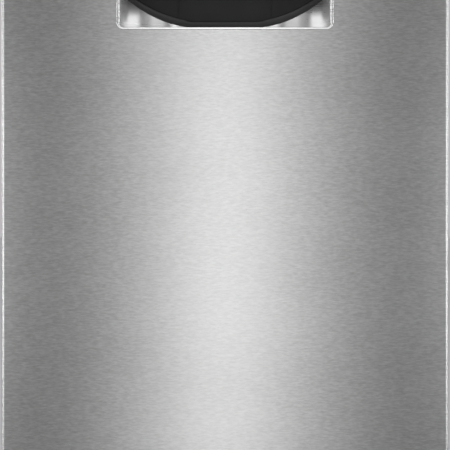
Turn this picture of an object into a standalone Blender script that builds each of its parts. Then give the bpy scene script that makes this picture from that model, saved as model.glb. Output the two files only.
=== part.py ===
"""Built-in dishwasher of the 600 mm class with a pocket handle in its door.

Metres, +Z up. The origin is on the floor, in the middle of the machine's width and depth, and the
door faces -Y. Every shape is drawn in this one frame. A moving piece then has its own origin on its
joint's axis, and hangs from an empty that stands there.
"""

import math

import bmesh
import bpy
from mathutils import Matrix

# ------------------------------------------------------------------ driving dimensions
WIDTH = 0.598
DEPTH = 0.6044
HEIGHT = 0.860
GAP = 0.0003                       # play between pieces that touch
FRONT = -DEPTH / 2                 # front of the handle's rim, the foremost surface
REAR = DEPTH / 2

DOOR_FACE = FRONT + 0.0007
DOOR_LOW, DOOR_HIGH = 0.108, 0.848
DOOR_SHEET = 0.0012
DOOR_FOLD = 0.004
DOOR_RETURN = 0.028                # how far the door's folded sides reach back
LINER_BACK = -0.2500               # inner door's face towards the tub
LINER_LOW, LINER_HIGH = 0.150, 0.8255
LINER_SHEET = 0.001
HINGE_Y, HINGE_Z = -0.2835, 0.128  # door hinge axis, along X

POCKET_HALF = 0.1452               # half the width of the handle's rim
POCKET_LOW, POCKET_HIGH = 0.7565, 0.8180
POCKET_CORNER = 0.0075
RIM_WIDTH = 0.0030
SMILE_FLAT = 0.040                 # half the flat stretch of the grip's lower edge
SMILE_RADIUS = 0.113               # radius of the arcs at both ends of it
EAR_DEPTH = 0.026

TUB_HALF = 0.268                   # inside of the tub
TUB_FLOOR, TUB_CEILING = 0.165, 0.818
TUB_FRONT, TUB_BACK = -0.2435, 0.262
TUB_SHEET = 0.001
FLOOR_FRONT = -0.2412               # front edge of the tub's floor sheet
FLANGE_HALF = 0.294
FLANGE_LOW, FLANGE_HIGH = 0.149, 0.8425

SIDE_HALF = 0.2970                 # outside of the side panels
SIDE_SHEET = 0.0012
PANEL_LOW, PANEL_HIGH = 0.030, 0.8445
BASE_HALF = 0.2954
BASE_LOW, BASE_HIGH = 0.028, 0.147
BASE_FRONT, BASE_BACK = -0.205, 0.3000

SUMP_X, SUMP_Y = 0.020, 0.005
SUMP_HOLE = 0.106                  # radius of the hole in the tub's floor
HUB_X, HUB_Y = 0.0, 0.005          # axis of the lower spray arm
FILTER_X, FILTER_Y = 0.062, 0.005
PUMP_Y, PUMP_Z = 0.005, 0.110      # axis of the circulation pump, along X
FILTER_TOP = 0.176

RACK_FRONT = -0.190
RACK_WALL = 0.003
LOWER_RACK_FLOOR, LOWER_RACK_RIM = 0.222, 0.345
UPPER_RACK_FLOOR, UPPER_RACK_RIM = 0.545, 0.650
TRAY_FLOOR, TRAY_RIM = 0.765, 0.793
WHEEL_RADIUS = 0.019
WHEEL_X, WHEEL_Z = 0.256, 0.1845
WHEEL_ROWS = {"front": -0.060, "rear": 0.150}
TINE_Y, TINE_Z = 0.075, 0.2300     # hinge of the folding tines, along X
SHELF_X, SHELF_Z = 0.238, 0.668    # hinges of the cup shelves, along Y

SPRING_X, SPRING_Y = 0.2845, -0.2315
SPRING_LOW, SPRING_HIGH = 0.0940, 0.3000
LEVER = 0.060                      # length of the hinge arm's spring lever

LID_Y = -0.2436                    # underside of the dispenser's lid and cap
CAP_X, CAP_Z = 0.058, 0.560
BUTTONS = {"power_button": -0.200, "program_button": 0.160, "start_button": 0.200}
BUTTON_Y = -0.2705
FASCIA_TOP = 0.8505
FEET = {"front_left": (-0.270, -0.170), "front_right": (0.270, -0.170),
        "rear_left": (-0.270, 0.272), "rear_right": (0.270, 0.272)}

SIDES = {"left": -1, "right": 1}


# ------------------------------------------------------------------ materials
def material(name, colour, roughness, metallic):
    made = bpy.data.materials.new(name)
    made.diffuse_color = (*colour, 1)
    made.use_nodes = True
    shader = made.node_tree.nodes["Principled BSDF"]
    shader.inputs["Base Color"].default_value = (*colour, 1)
    shader.inputs["Roughness"].default_value = roughness
    shader.inputs["Metallic"].default_value = metallic
    return made


def clear_scene():
    for obj in list(bpy.data.objects):
        bpy.data.objects.remove(obj)


clear_scene()
BRUSHED = material("brushed_steel", (0.62, 0.62, 0.62), 0.32, 1.0)
POLISHED = material("polished_steel", (0.78, 0.78, 0.78), 0.12, 1.0)
TUB_STEEL = material("tub_steel", (0.66, 0.66, 0.67), 0.22, 1.0)
GALVANISED = material("galvanised_steel", (0.55, 0.56, 0.57), 0.42, 1.0)
SPRING_STEEL = material("spring_steel", (0.35, 0.35, 0.36), 0.35, 1.0)
BLACK = material("black_plastic", (0.020, 0.020, 0.021), 0.35, 0.0)
BASE_GREY = material("base_plastic", (0.10, 0.10, 0.11), 0.55, 0.0)
GREY = material("grey_plastic", (0.36, 0.37, 0.38), 0.45, 0.0)
LIGHT_GREY = material("light_plastic", (0.62, 0.63, 0.64), 0.40, 0.0)
RACK_GREY = material("rack_coating", (0.42, 0.44, 0.46), 0.38, 0.0)
RUBBER = material("seal_rubber", (0.045, 0.045, 0.048), 0.70, 0.0)


# ------------------------------------------------------------------ outlines, as (u, v) pairs
def rounded_rectangle(low, high, radii, steps=4):
    """Counter-clockwise from the low-low corner. radii: one, or one for each corner in that order."""
    (u0, v0), (u1, v1) = low, high
    if not isinstance(radii, (list, tuple)):
        radii = [radii] * 4
    corners = [(u0, v0, 1, 1, 180), (u1, v0, -1, 1, 270), (u1, v1, -1, -1, 0), (u0, v1, 1, -1, 90)]
    points = []
    for (u, v, su, sv, start), r in zip(corners, radii):
        centre = (u + su * r, v + sv * r)
        points += arc(centre, r, start, start + 90, steps)
    return points


def arc(centre, radius, start, end, steps):
    """Points on an arc, with both its ends, angles in degrees."""
    turns = [math.radians(start + (end - start) * i / steps) for i in range(steps + 1)]
    return [(centre[0] + radius * math.cos(t), centre[1] + radius * math.sin(t)) for t in turns]


def circle(centre, radius, sides):
    return arc(centre, radius, 0, 360, sides)[:-1]


# ------------------------------------------------------------------ shapes
AXES = {"X": lambda u, v, w: (w, u, v), "Y": lambda u, v, w: (u, w, v), "Z": lambda u, v, w: (u, v, w)}


def new_object(name, bm, finish, inside_out=False):
    """The bmesh as an object whose faces point outwards."""
    bmesh.ops.recalc_face_normals(bm, faces=bm.faces)
    if inside_out:
        bmesh.ops.reverse_faces(bm, faces=bm.faces)
    mesh = bpy.data.meshes.new(name)
    bm.to_mesh(mesh)
    bm.free()
    mesh.materials.append(finish)
    obj = bpy.data.objects.new(name, mesh)
    bpy.context.scene.collection.objects.link(obj)
    return obj


def loft(name, rings, finish, caps=(True, True), inside_out=False):
    """A skin over rings of as many points each, with a flat cap on the first and last ring if asked."""
    bm = bmesh.new()
    rows = [[bm.verts.new(p) for p in ring] for ring in rings]
    count = len(rows[0])
    for a, b in zip(rows, rows[1:]):
        for i in range(count):
            j = (i + 1) % count
            bm.faces.new((a[i], a[j], b[j], b[i]))
    if caps[0]:
        bm.faces.new(rows[0])
    if caps[1]:
        bm.faces.new(rows[-1])
    return new_object(name, bm, finish, inside_out)


def prism(name, outline, axis, start, end, finish):
    """An outline extruded along X, Y or Z. Its pairs are the other two axes, in X, Y, Z order."""
    place = AXES[axis]
    return loft(name, [[place(u, v, w) for u, v in outline] for w in (start, end)], finish)


def box(name, low, high, finish):
    outline = [(low[0], low[1]), (high[0], low[1]), (high[0], high[1]), (low[0], high[1])]
    return prism(name, outline, "Z", low[2], high[2], finish)


def turned(name, profile, axis, centre, sides, finish):
    """A profile of (radius, place along the axis) turned round X, Y or Z. centre is the axis's other two
    places. A profile that starts and ends on the axis closes there, and any other is a closed loop."""
    place = AXES[axis]
    on_axis = profile[0][0] == 0 and profile[-1][0] == 0
    bm = bmesh.new()
    rows = []
    for r, w in profile:
        if r == 0:
            rows.append([bm.verts.new(place(centre[0], centre[1], w))] * sides)
        else:
            rows.append([bm.verts.new(place(u, v, w)) for u, v in circle(centre, r, sides)])
    pairs = list(zip(rows, rows[1:]))
    if not on_axis:
        pairs.append((rows[-1], rows[0]))
    for a, b in pairs:
        for i in range(sides):
            j = (i + 1) % sides
            corners = list(dict.fromkeys((a[i], a[j], b[j], b[i])))
            bm.faces.new(corners)
    obj = new_object(name, bm, finish)
    obj.data.shade_smooth()
    obj.data.set_sharp_from_angle(angle=math.radians(35))
    return obj


def rod(name, axis, centre, radius, start, end, sides, finish):
    return turned(name, [(0, start), (radius, start), (radius, end), (0, end)], axis, centre, sides, finish)


def open_basket(name, low, high, finish):
    """An open-topped basket, its wirework simplified to one thin floor and four thin walls."""
    inner_low, inner_high = (low[0] + RACK_WALL, low[1] + RACK_WALL), (high[0] - RACK_WALL, high[1] - RACK_WALL)
    rings = []
    for (x0, y0), (x1, y1), z in ((low[:2], high[:2], low[2]), (low[:2], high[:2], high[2]),
                                  (inner_low, inner_high, high[2]), (inner_low, inner_high, low[2] + RACK_WALL)):
        rings.append([(x0, y0, z), (x1, y0, z), (x1, y1, z), (x0, y1, z)])
    return loft(name, rings, finish)


# ------------------------------------------------------------------ modifiers and placing
def thicken(obj, sheet, side):
    """Gives a sheet its thickness: side -1 inwards, 1 outwards."""
    solid = obj.modifiers.new("sheet", "SOLIDIFY")
    solid.thickness = sheet
    solid.offset = side
    solid.use_even_offset = True
    return obj


def helper(obj):
    obj.hide_render = True
    obj.display_type = "WIRE"
    return obj


def boolean(obj, others, operation):
    for other in others:
        step = obj.modifiers.new(operation.lower(), "BOOLEAN")
        step.operation = operation
        step.object = helper(other)
    return obj


def cut(obj, *cutters):
    return boolean(obj, cutters, "DIFFERENCE")


def join(obj, *pieces):
    return boolean(obj, pieces, "UNION")


def joint(name, point):
    """An empty on a joint's axis."""
    empty = bpy.data.objects.new(name, None)
    empty.empty_display_size = 0.03
    empty.location = point
    bpy.context.scene.collection.objects.link(empty)
    return empty


def hang(empty, *objects):
    """Hangs objects from a joint's empty, each with its own origin there."""
    for obj in objects:
        obj.data.transform(Matrix.Translation(-empty.location))
        obj.parent = empty


# ------------------------------------------------------------------ fixed casing
def tub():
    """Wash tub's walls, ceiling and back: one pressed wrapper, with a flange round its mouth."""
    radii = [0.002, 0.002, 0.024, 0.024]
    mouth = rounded_rectangle((-TUB_HALF, TUB_FLOOR), (TUB_HALF, TUB_CEILING), radii)
    flange = rounded_rectangle((-FLANGE_HALF, FLANGE_LOW), (FLANGE_HALF, FLANGE_HIGH), 0.005)
    rings = [[(u, y, v) for u, v in outline]
             for outline, y in ((flange, TUB_FRONT), (mouth, TUB_FRONT), (mouth, TUB_BACK))]
    made = thicken(loft("tub", rings, TUB_STEEL, caps=(False, True)), TUB_SHEET, -1)
    cutters = [
        box("floor_cutter", (-TUB_HALF - 0.005, FLOOR_FRONT - GAP, 0.155),
            (TUB_HALF + 0.005, TUB_BACK + 0.005, TUB_FLOOR + GAP), TUB_STEEL),
        box("strike_slot_cutter", (-0.020, -0.25, 0.8298), (0.020, -0.235, 0.8400), TUB_STEEL),
    ]
    for side, sign in SIDES.items():
        x0, x1 = sorted((sign * 0.2805, sign * 0.2888))
        cutters.append(box(f"lever_slot_cutter_{side}", (x0, -0.25, 0.140), (x1, -0.235, 0.192), TUB_STEEL))
    return cut(made, *cutters)


def tub_floor():
    """Floor of the wash tub, closed round the wrapper's lower edges, with the hole for the sump."""
    made = box("tub_floor", (-TUB_HALF - TUB_SHEET, FLOOR_FRONT, TUB_FLOOR - TUB_SHEET),
               (TUB_HALF + TUB_SHEET, TUB_BACK + TUB_SHEET, TUB_FLOOR), TUB_STEEL)
    return cut(made, rod("sump_opening_cutter", "Z", (SUMP_X, SUMP_Y), SUMP_HOLE, 0.150, 0.180, 32, TUB_STEEL))


def tub_gasket():
    """Rubber seal on three sides of the tub's mouth."""
    outer, inner, foot = 0.2795, 0.2705, 0.166
    top_outer, top_inner, corner = 0.8290, 0.8205, 0.018
    outline = [(-outer, foot), (-inner, foot)]
    outline += arc((-inner + corner, top_inner - corner), corner, 180, 90, 3)
    outline += arc((inner - corner, top_inner - corner), corner, 90, 0, 3)
    outline += [(inner, foot), (outer, foot)]
    outline += arc((outer - corner, top_outer - corner), corner, 0, 90, 3)
    outline += arc((-outer + corner, top_outer - corner), corner, 90, 180, 3)
    return prism("tub_gasket", outline, "Y", LINER_BACK + GAP, TUB_FRONT - GAP, RUBBER)


def side_panel(side, sign):
    """Galvanised side, with a shelf that the door spring pushes against."""
    inner, outer = sorted((sign * (SIDE_HALF - SIDE_SHEET), sign * SIDE_HALF))
    low, high = (inner, TUB_FRONT + TUB_SHEET + GAP, PANEL_LOW), (outer, REAR - 0.0015, PANEL_HIGH)
    made = box(f"side_panel_{side}", low, high, GALVANISED)
    x0, x1 = sorted((sign * 0.2760, sign * (SIDE_HALF - 0.0006)))
    shelf = box(f"spring_shelf_{side}", (x0, -0.2400, SPRING_HIGH + GAP), (x1, -0.2200, SPRING_HIGH + 0.003),
                GALVANISED)
    return join(made, shelf)


def rear_panel():
    """Rear frame, open over the tub's back, with holes for water, drain and mains."""
    sheet = box("rear_panel", (-SIDE_HALF, REAR - 0.0012, PANEL_LOW), (SIDE_HALF, REAR, PANEL_HIGH), GALVANISED)
    window = rounded_rectangle((-0.235, 0.215), (0.235, 0.790), 0.020)
    cutters = [prism("rear_window_cutter", window, "Y", REAR - 0.01, REAR + 0.01, GALVANISED)]
    for name, x, z, r in (("inlet", -0.232, 0.072, 0.0125), ("drain", 0.150, 0.090, 0.0135), ("mains", 0.230, 0.060, 0.0095)):
        cutters.append(rod(f"{name}_hole_cutter", "Y", (x, z), r, REAR - 0.01, REAR + 0.01, 16, GALVANISED))
    return cut(sheet, *cutters)


def top_crossmember():
    """Front rail over the tub, with two tabs that are screwed to the worktop."""
    z = PANEL_HIGH + GAP
    made = box("top_crossmember", (-SIDE_HALF, -0.2400, z), (SIDE_HALF, -0.1500, z + 0.0015), GALVANISED)
    outline = [(-0.2352, z + 0.0007), (-0.2352, HEIGHT - 0.0015), (-0.2640, HEIGHT - 0.0015), (-0.2640, HEIGHT),
               (-0.2337, HEIGHT), (-0.2337, z + 0.0007)]
    tabs, holes = [], []
    for side, sign in SIDES.items():
        x = sign * 0.220
        tabs.append(prism(f"worktop_tab_{side}", outline, "X", x - 0.020, x + 0.020, GALVANISED))
        holes.append(rod(f"tab_hole_cutter_{side}", "Z", (x, -0.2540), 0.0025, HEIGHT - 0.005, HEIGHT + 0.005, 12,
                         GALVANISED))
    return cut(join(made, *tabs), *holes)


def base_tray():
    """Moulded base pan that holds the pumps and catches leaks, with a threaded boss for each foot."""
    outline = rounded_rectangle((-BASE_HALF, BASE_FRONT), (BASE_HALF, BASE_BACK), 0.008, 3)
    rings = [[(u, v, z) for u, v in outline] for z in (BASE_HIGH, BASE_LOW)]
    made = thicken(loft("base_tray", rings, BASE_GREY, caps=(False, True)), 0.003, -1)
    bosses, holes = [], []
    for place, centre in FEET.items():
        bosses.append(rod(f"foot_boss_{place}", "Z", centre, 0.012, BASE_LOW + 0.001, 0.072, 16, BASE_GREY))
        holes.append(rod(f"foot_hole_cutter_{place}", "Z", centre, 0.0064, 0.020, 0.080, 16, BASE_GREY))
    drain = rod("drain_window_cutter", "Y", (0.150, 0.090), 0.0135, 0.290, 0.310, 16, BASE_GREY)
    inlet = rod("inlet_window_cutter", "Y", (-0.232, 0.072), 0.0125, 0.290, 0.310, 16, BASE_GREY)
    mains = rod("mains_window_cutter", "Y", (0.230, 0.060), 0.0095, 0.290, 0.310, 16, BASE_GREY)
    return cut(join(made, *bosses), *holes, drain, inlet, mains)


def toe_kick():
    """Recessed kick plate in front of the base, folded back along its top and bottom."""
    front, back, low, high, sheet = -0.2130, BASE_FRONT - GAP, 0.020, 0.100, 0.0012
    outline = [(back, low), (front, low), (front, high), (back, high), (back, high - sheet),
               (front + sheet, high - sheet), (front + sheet, low + sheet), (back, low + sheet)]
    return prism("toe_kick", outline, "X", -0.2730, 0.2730, BLACK)


def hinge_bracket(side, sign):
    """Steel ear on the base, with the pin that the door turns on."""
    boss = arc((HINGE_Y, HINGE_Z), 0.011, 90, 270, 6)
    outline = [(BASE_FRONT - GAP, 0.060), (BASE_FRONT - GAP, 0.145), (-0.2360, 0.139)] + boss
    outline += [(-0.2530, HINGE_Z - 0.011), (-0.2360, 0.098)]
    x0, x1 = sorted((sign * 0.2738, sign * 0.2764))
    made = prism(f"hinge_bracket_{side}", outline, "X", x0, x1, GALVANISED)
    p0, p1 = sorted((sign * 0.2750, sign * 0.2900))
    return join(made, rod(f"hinge_pin_{side}", "X", (HINGE_Y, HINGE_Z), 0.005, p0, p1, 16, GALVANISED))


def door_spring(side, sign):
    """Counterbalance spring between the side panel's shelf and the hinge arm's lever."""
    turns, steps, wire, mean_radius = 8, 8, 0.0012, 0.0062
    height = SPRING_HIGH - SPRING_LOW - 2 * wire
    curve = bpy.data.curves.new(f"door_spring_{side}", "CURVE")
    curve.dimensions = "3D"
    curve.bevel_depth = wire
    curve.bevel_resolution = 0
    curve.use_fill_caps = True
    line = curve.splines.new("POLY")
    count = turns * steps + 1
    line.points.add(count - 1)
    for i in range(count):
        turn = 2 * math.pi * i / steps
        line.points[i].co = (mean_radius * math.cos(turn), sign * mean_radius * math.sin(turn),
                             wire + height * i / (count - 1), 1)
    curve.materials.append(SPRING_STEEL)
    spring = bpy.data.objects.new(f"door_spring_{side}", curve)
    spring.location = (sign * SPRING_X, SPRING_Y, SPRING_LOW)
    bpy.context.scene.collection.objects.link(spring)
    return spring


def door_latch():
    """Latch housing over the tub's mouth, with the slot that the strike enters."""
    made = box("door_latch", (-0.030, TUB_FRONT + TUB_SHEET + GAP, 0.8270), (0.030, -0.2050, 0.8435), BLACK)
    return cut(made, box("latch_slot_cutter", (-0.019, -0.2500, 0.8300), (0.019, -0.2150, 0.8400), BLACK))


# ------------------------------------------------------------------ wash system
def sump():
    """Sump bowl under the tub's floor, with the hub and pin of the lower spray arm."""
    profile = [(0.0, 0.066), (0.078, 0.066), (0.098, 0.090), (0.098, 0.1600), (0.116, 0.1602), (0.116, 0.1632),
               (0.095, 0.1632), (0.095, 0.092), (0.076, 0.069), (0.0, 0.069)]
    bowl = turned("sump", profile, "Z", (SUMP_X, SUMP_Y), 28, GREY)
    column = [(0, 0.0675), (0.016, 0.0675), (0.016, 0.1765), (0.006, 0.1765), (0.006, 0.1975), (0, 0.1975)]
    hub = turned("spray_hub", column, "Z", (HUB_X, HUB_Y), 16, GREY)
    suction = rod("suction_port_cutter", "X", (PUMP_Y, PUMP_Z), 0.014, -0.090, -0.068, 16, GREY)
    return cut(join(bowl, hub), suction)


def coarse_filter():
    """Flat filter plate in the tub's floor."""
    plate = rod("coarse_filter", "Z", (SUMP_X, SUMP_Y), SUMP_HOLE - 0.001, 0.1636, 0.1656, 32, TUB_STEEL)
    hub = rod("filter_hub_cutter", "Z", (HUB_X, HUB_Y), 0.0175, 0.160, 0.170, 16, TUB_STEEL)
    well = rod("filter_well_cutter", "Z", (FILTER_X, FILTER_Y), 0.0340, 0.160, 0.170, 20, TUB_STEEL)
    return cut(plate, hub, well)


def fine_filter():
    """Cylindrical fine filter with a grip across its mouth. It turns to unlock."""
    profile = [(0, 0.085), (0.0325, 0.085), (0.0325, FILTER_TOP), (0.0305, FILTER_TOP), (0.0305, 0.087), (0, 0.087)]
    made = turned("fine_filter", profile, "Z", (FILTER_X, FILTER_Y), 20, GREY)
    grip = box("filter_grip", (FILTER_X - 0.0315, FILTER_Y - 0.003, 0.160), (FILTER_X + 0.0315, FILTER_Y + 0.003,
               FILTER_TOP - 0.001), GREY)
    join(made, grip)
    hang(joint("fine_filter_axis", (FILTER_X, FILTER_Y, FILTER_TOP)), made)


def circulation_pump():
    """Wash pump: motor and volute, with the impeller's chamber open at the inlet."""
    profile = [(0, -0.126), (0.044, -0.126), (0.044, -0.102), (0.013, -0.100), (0.013, -0.0785), (0.018, -0.0785),
               (0.018, -0.098), (0.048, -0.100), (0.048, -0.132), (0.040, -0.136), (0.040, -0.225), (0.034, -0.230),
               (0, -0.230)]
    made = turned("circulation_pump", profile, "X", (PUMP_Y, PUMP_Z), 20, GREY)
    outlet = rod("pump_outlet", "Z", (-0.113, PUMP_Y + 0.034), 0.012, PUMP_Z, 0.1620, 12, GREY)
    chamber = rod("pump_chamber_cutter", "X", (PUMP_Y, PUMP_Z), 0.044, -0.126, -0.102, 20, GREY)
    return cut(join(made, outlet), chamber)


def circulation_impeller():
    """Impeller with five straight vanes on a disc."""
    made = turned("circulation_impeller", [(0, -0.1225), (0.038, -0.1225), (0.038, -0.1195), (0.010, -0.1195),
                                           (0.007, -0.1060), (0, -0.1060)], "X", (PUMP_Y, PUMP_Z), 20, LIGHT_GREY)
    vanes = []
    for i in range(5):
        turn = math.radians(72 * i + 10)
        along, across = (math.cos(turn), math.sin(turn)), (-math.sin(turn), math.cos(turn))
        corners = [(0.005, -0.0012), (0.036, -0.0012), (0.036, 0.0012), (0.005, 0.0012)]
        outline = [(PUMP_Y + a * along[0] + b * across[0], PUMP_Z + a * along[1] + b * across[1])
                   for a, b in corners]
        vanes.append(prism(f"impeller_vane_{i}", outline, "X", -0.1200, -0.1080, LIGHT_GREY))
    join(made, *vanes)
    hang(joint("impeller_axis", (-0.1225, PUMP_Y, PUMP_Z)), made)


def drain_pump():
    """Drain pump on the sump's other side, with its outlet through the rear."""
    profile = [(0, 0.1185), (0.026, 0.1185), (0.028, 0.124), (0.028, 0.146), (0.021, 0.150), (0.021, 0.196),
               (0, 0.196)]
    made = turned("drain_pump", profile, "X", (SUMP_Y, 0.090), 16, GREY)
    outlet = rod("drain_outlet", "Y", (0.150, 0.090), 0.0115, SUMP_Y + 0.006, REAR - 0.0004, 12, GREY)
    return join(made, outlet)


def inlet_valve():
    """Fill valve with its threaded inlet through the rear and its coil on top."""
    x, z = -0.232, 0.072
    made = box("inlet_valve", (x - 0.016, 0.246, z - 0.014), (x + 0.018, 0.284, z + 0.014), LIGHT_GREY)
    inlet = rod("inlet_thread", "Y", (x, z), 0.0105, 0.270, REAR - 0.0004, 16, LIGHT_GREY)
    coil = rod("inlet_coil", "Z", (x + 0.001, 0.2660), 0.0125, z + 0.010, z + 0.046, 14, LIGHT_GREY)
    return join(made, inlet, coil)


def junction_box():
    """Mains terminal box with its cable gland through the rear."""
    x, z = 0.230, 0.060
    made = box("junction_box", (x - 0.040, 0.215, 0.0335), (x + 0.014, 0.285, 0.088), BLACK)
    gland = turned("cable_gland", [(0.0040, 0.270), (0.0082, 0.270), (0.0082, REAR - 0.0004),
                                   (0.0040, REAR - 0.0004)], "Y", (x, z), 14, BLACK)
    return join(made, gland)


def feed_tube():
    """Supply tube up the tub's back wall, with a dock for the upper rack and a pivot over the tray."""
    dock_low, dock_high = 0.5345, 0.5445
    outline = [(0.112, 0.1665), (0.2550, 0.1665), (0.2550, 0.8165), (-0.012, 0.8165), (-0.012, 0.8080),
               (0.2410, 0.8080), (0.2410, dock_high), (0.2240, dock_high), (0.2240, dock_low), (0.2410, dock_low),
               (0.2410, 0.1765), (0.112, 0.1765)]
    made = prism("feed_tube", outline, "X", -0.016, 0.016, LIGHT_GREY)
    return join(made, rod("ceiling_pivot", "Z", (0, 0), 0.004, 0.7985, 0.8100, 12, LIGHT_GREY))


def blade_outline(reach, hub, root, tip, sweep):
    """Outline of a two-bladed spray arm: each blade narrows from root to tip and leans by sweep."""
    half = []
    for t in (0.25, 0.6, 0.9):
        x = hub + (reach - hub) * t
        width = root + (tip - root) * t
        half.append((x, sweep * t * t, width / 2))
    right_low = [(x, lean - w) for x, lean, w in half]
    right_high = [(x, lean + w) for x, lean, w in reversed(half)]
    end = arc((reach - tip / 2, sweep), tip / 2, -60, 60, 4)
    blade = right_low + end + right_high
    return blade + [(-u, -v) for u, v in blade]


def spray_arm(name, centre, reach, root, tip, low, high, bore, hub_low, hub_high, bore_top):
    """A flat hollow-looking arm on a turned hub, bored from below or above for its pivot."""
    outline = [(u + centre[0], v + centre[1]) for u, v in blade_outline(reach, 0.0, root, tip, 0.012)]
    made = prism(name, outline, "Z", low, high, LIGHT_GREY)
    hub = rod(f"{name}_hub", "Z", centre, root * 0.62, hub_low, hub_high, 16, LIGHT_GREY)
    seat = rod(f"{name}_bore_cutter", "Z", centre, bore, min(hub_low - 0.002, bore_top), bore_top, 16, LIGHT_GREY)
    return cut(join(made, hub), seat)


# ------------------------------------------------------------------ racks
def tine_comb(name, x0, x1, y, low, height, tines, thick, finish):
    """A row of upright tines on one bar, along X."""
    width, bar = 0.004, 0.004
    pitch = (x1 - x0 - width) / (tines - 1)
    outline = [(x0, low), (x1, low)]
    for i in reversed(range(tines)):
        left = x0 + i * pitch
        outline += [(left + width, low + bar), (left + width, low + height), (left, low + height), (left, low + bar)]
    outline = outline[:2] + [p for p in outline[2:] if p != (x1, low + bar) and p != (x0, low + bar)]
    return prism(name, outline, "Y", y - thick / 2, y + thick / 2, finish)


def lower_rack(body):
    made = open_basket("lower_rack", (-0.250, RACK_FRONT, LOWER_RACK_FLOOR), (0.250, 0.225, LOWER_RACK_RIM), RACK_GREY)
    added = [tine_comb("fixed_tines", -0.128, 0.232, -0.045, LOWER_RACK_FLOOR + 0.0012, 0.088, 8, 0.0034, RACK_GREY)]
    for side, sign in SIDES.items():
        for row, y in WHEEL_ROWS.items():
            x0, x1 = sorted((sign * 0.2465, sign * 0.2495))
            added.append(box(f"wheel_bracket_{row}_{side}", (x0, y - 0.008, 0.176), (x1, y + 0.008, 0.2245), RACK_GREY))
            a0, a1 = sorted((sign * 0.2480, sign * 0.2620))
            added.append(rod(f"wheel_axle_{row}_{side}", "X", (y, WHEEL_Z), 0.0035, a0, a1, 12, RACK_GREY))
    join(made, *added)
    hang(body, made)
    for side, sign in SIDES.items():
        for row, y in WHEEL_ROWS.items():
            rack_wheel(f"rack_wheel_{row}_{side}", body, sign * WHEEL_X, y)


def rack_wheel(name, body, x, y):
    """Plastic roller with a bore for its axle."""
    half, bore = 0.0045, 0.0041
    profile = [(bore, x - half), (WHEEL_RADIUS, x - half), (WHEEL_RADIUS, x + half), (bore, x + half)]
    made = turned(name, profile, "X", (y, WHEEL_Z), 18, GREY)
    axis = joint(f"{name}_axis", (x, y, WHEEL_Z))
    hang(axis, made)
    axis.parent = body
    axis.location -= body.location


def fold_tines(body):
    comb = tine_comb("fold_tines", -0.128, 0.232, TINE_Y, TINE_Z - 0.002, 0.088, 8, 0.004, RACK_GREY)
    axis = joint("fold_tines_axis", (0.052, TINE_Y, TINE_Z))
    hang(axis, comb)
    axis.parent = body
    axis.location -= body.location


def cutlery_basket(body):
    """Basket for cutlery, with a carrying handle."""
    low, high = (-0.240, -0.175, 0.2265), (-0.152, 0.060, 0.350)
    made = open_basket("cutlery_basket", low, high, RACK_GREY)
    middle = (low[1] + high[1]) / 2
    reach, top = (high[1] - low[1]) / 2 - 0.001, 0.430
    outline = [(middle - reach, 0.347), (middle - reach, 0.356), (middle - 0.052, top), (middle + 0.052, top),
               (middle + reach, 0.356), (middle + reach, 0.347), (middle + reach - 0.005, 0.347),
               (middle + 0.048, top - 0.005), (middle - 0.048, top - 0.005), (middle - reach + 0.005, 0.347)]
    handle = prism("basket_handle", outline, "X", -0.199, -0.193, RACK_GREY)
    join(made, handle)
    axis = joint("cutlery_basket_axis", (-0.196, middle, low[2]))
    hang(axis, made)
    axis.parent = body
    axis.location -= body.location


def upper_rack(body):
    made = open_basket("upper_rack", (-0.246, RACK_FRONT, UPPER_RACK_FLOOR), (0.246, 0.222, UPPER_RACK_RIM), RACK_GREY)
    added = [box("rack_duct", (-0.012, -0.012, 0.5360), (0.012, 0.2235, 0.5470), RACK_GREY),
             rod("upper_pivot", "Z", (0, 0), 0.005, 0.5150, 0.5400, 12, RACK_GREY)]
    for side, sign in SIDES.items():
        x0, x1 = sorted((sign * 0.2440, sign * 0.2640))
        added.append(box(f"upper_runner_{side}", (x0, -0.185, 0.606), (x1, 0.215, 0.618), RACK_GREY))
        p0, p1 = sorted((sign * 0.2425, sign * 0.2450))
        for end, y in (("front", -0.120), ("rear", 0.120)):
            q0, q1 = sorted((sign * 0.2360, sign * 0.2444))
            added.append(box(f"shelf_post_{end}_{side}", (p0, y - 0.004, 0.6480), (p1, y + 0.004, 0.6640), RACK_GREY))
            added.append(box(f"shelf_rest_{end}_{side}", (q0, y - 0.003, 0.6600), (q1, y + 0.003, 0.6645), RACK_GREY))
    join(made, *added)
    hang(body, made)


def cup_shelf(side, sign, body):
    """Slatted shelf that folds up against the rack's side."""
    x0, x1 = sorted((sign * 0.150, sign * 0.240))
    made = box(f"cup_shelf_{side}", (x0, -0.150, SHELF_Z - 0.002), (x1, 0.150, SHELF_Z + 0.002), GREY)
    slots = []
    for i in range(4):
        a, b = sorted((sign * (0.159 + i * 0.019), sign * (0.170 + i * 0.019)))
        slots.append(box(f"shelf_slot_{side}_{i}", (a, -0.138, 0.66), (b, 0.138, 0.68), GREY))
    cut(made, *slots)
    axis = joint(f"cup_shelf_{side}_axis", (sign * SHELF_X, 0, SHELF_Z))
    hang(axis, made)
    axis.parent = body
    axis.location -= body.location


def cutlery_tray(body):
    """Shallow third rack for cutlery, with its runners."""
    made = open_basket("cutlery_tray", (-0.243, RACK_FRONT, TRAY_FLOOR), (0.243, 0.222, TRAY_RIM), RACK_GREY)
    runners = []
    for side, sign in SIDES.items():
        x0, x1 = sorted((sign * 0.2410, sign * 0.2640))
        runners.append(box(f"tray_runner_{side}", (x0, -0.185, 0.7755), (x1, 0.215, 0.7835), RACK_GREY))
    hang(body, join(made, *runners))


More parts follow.
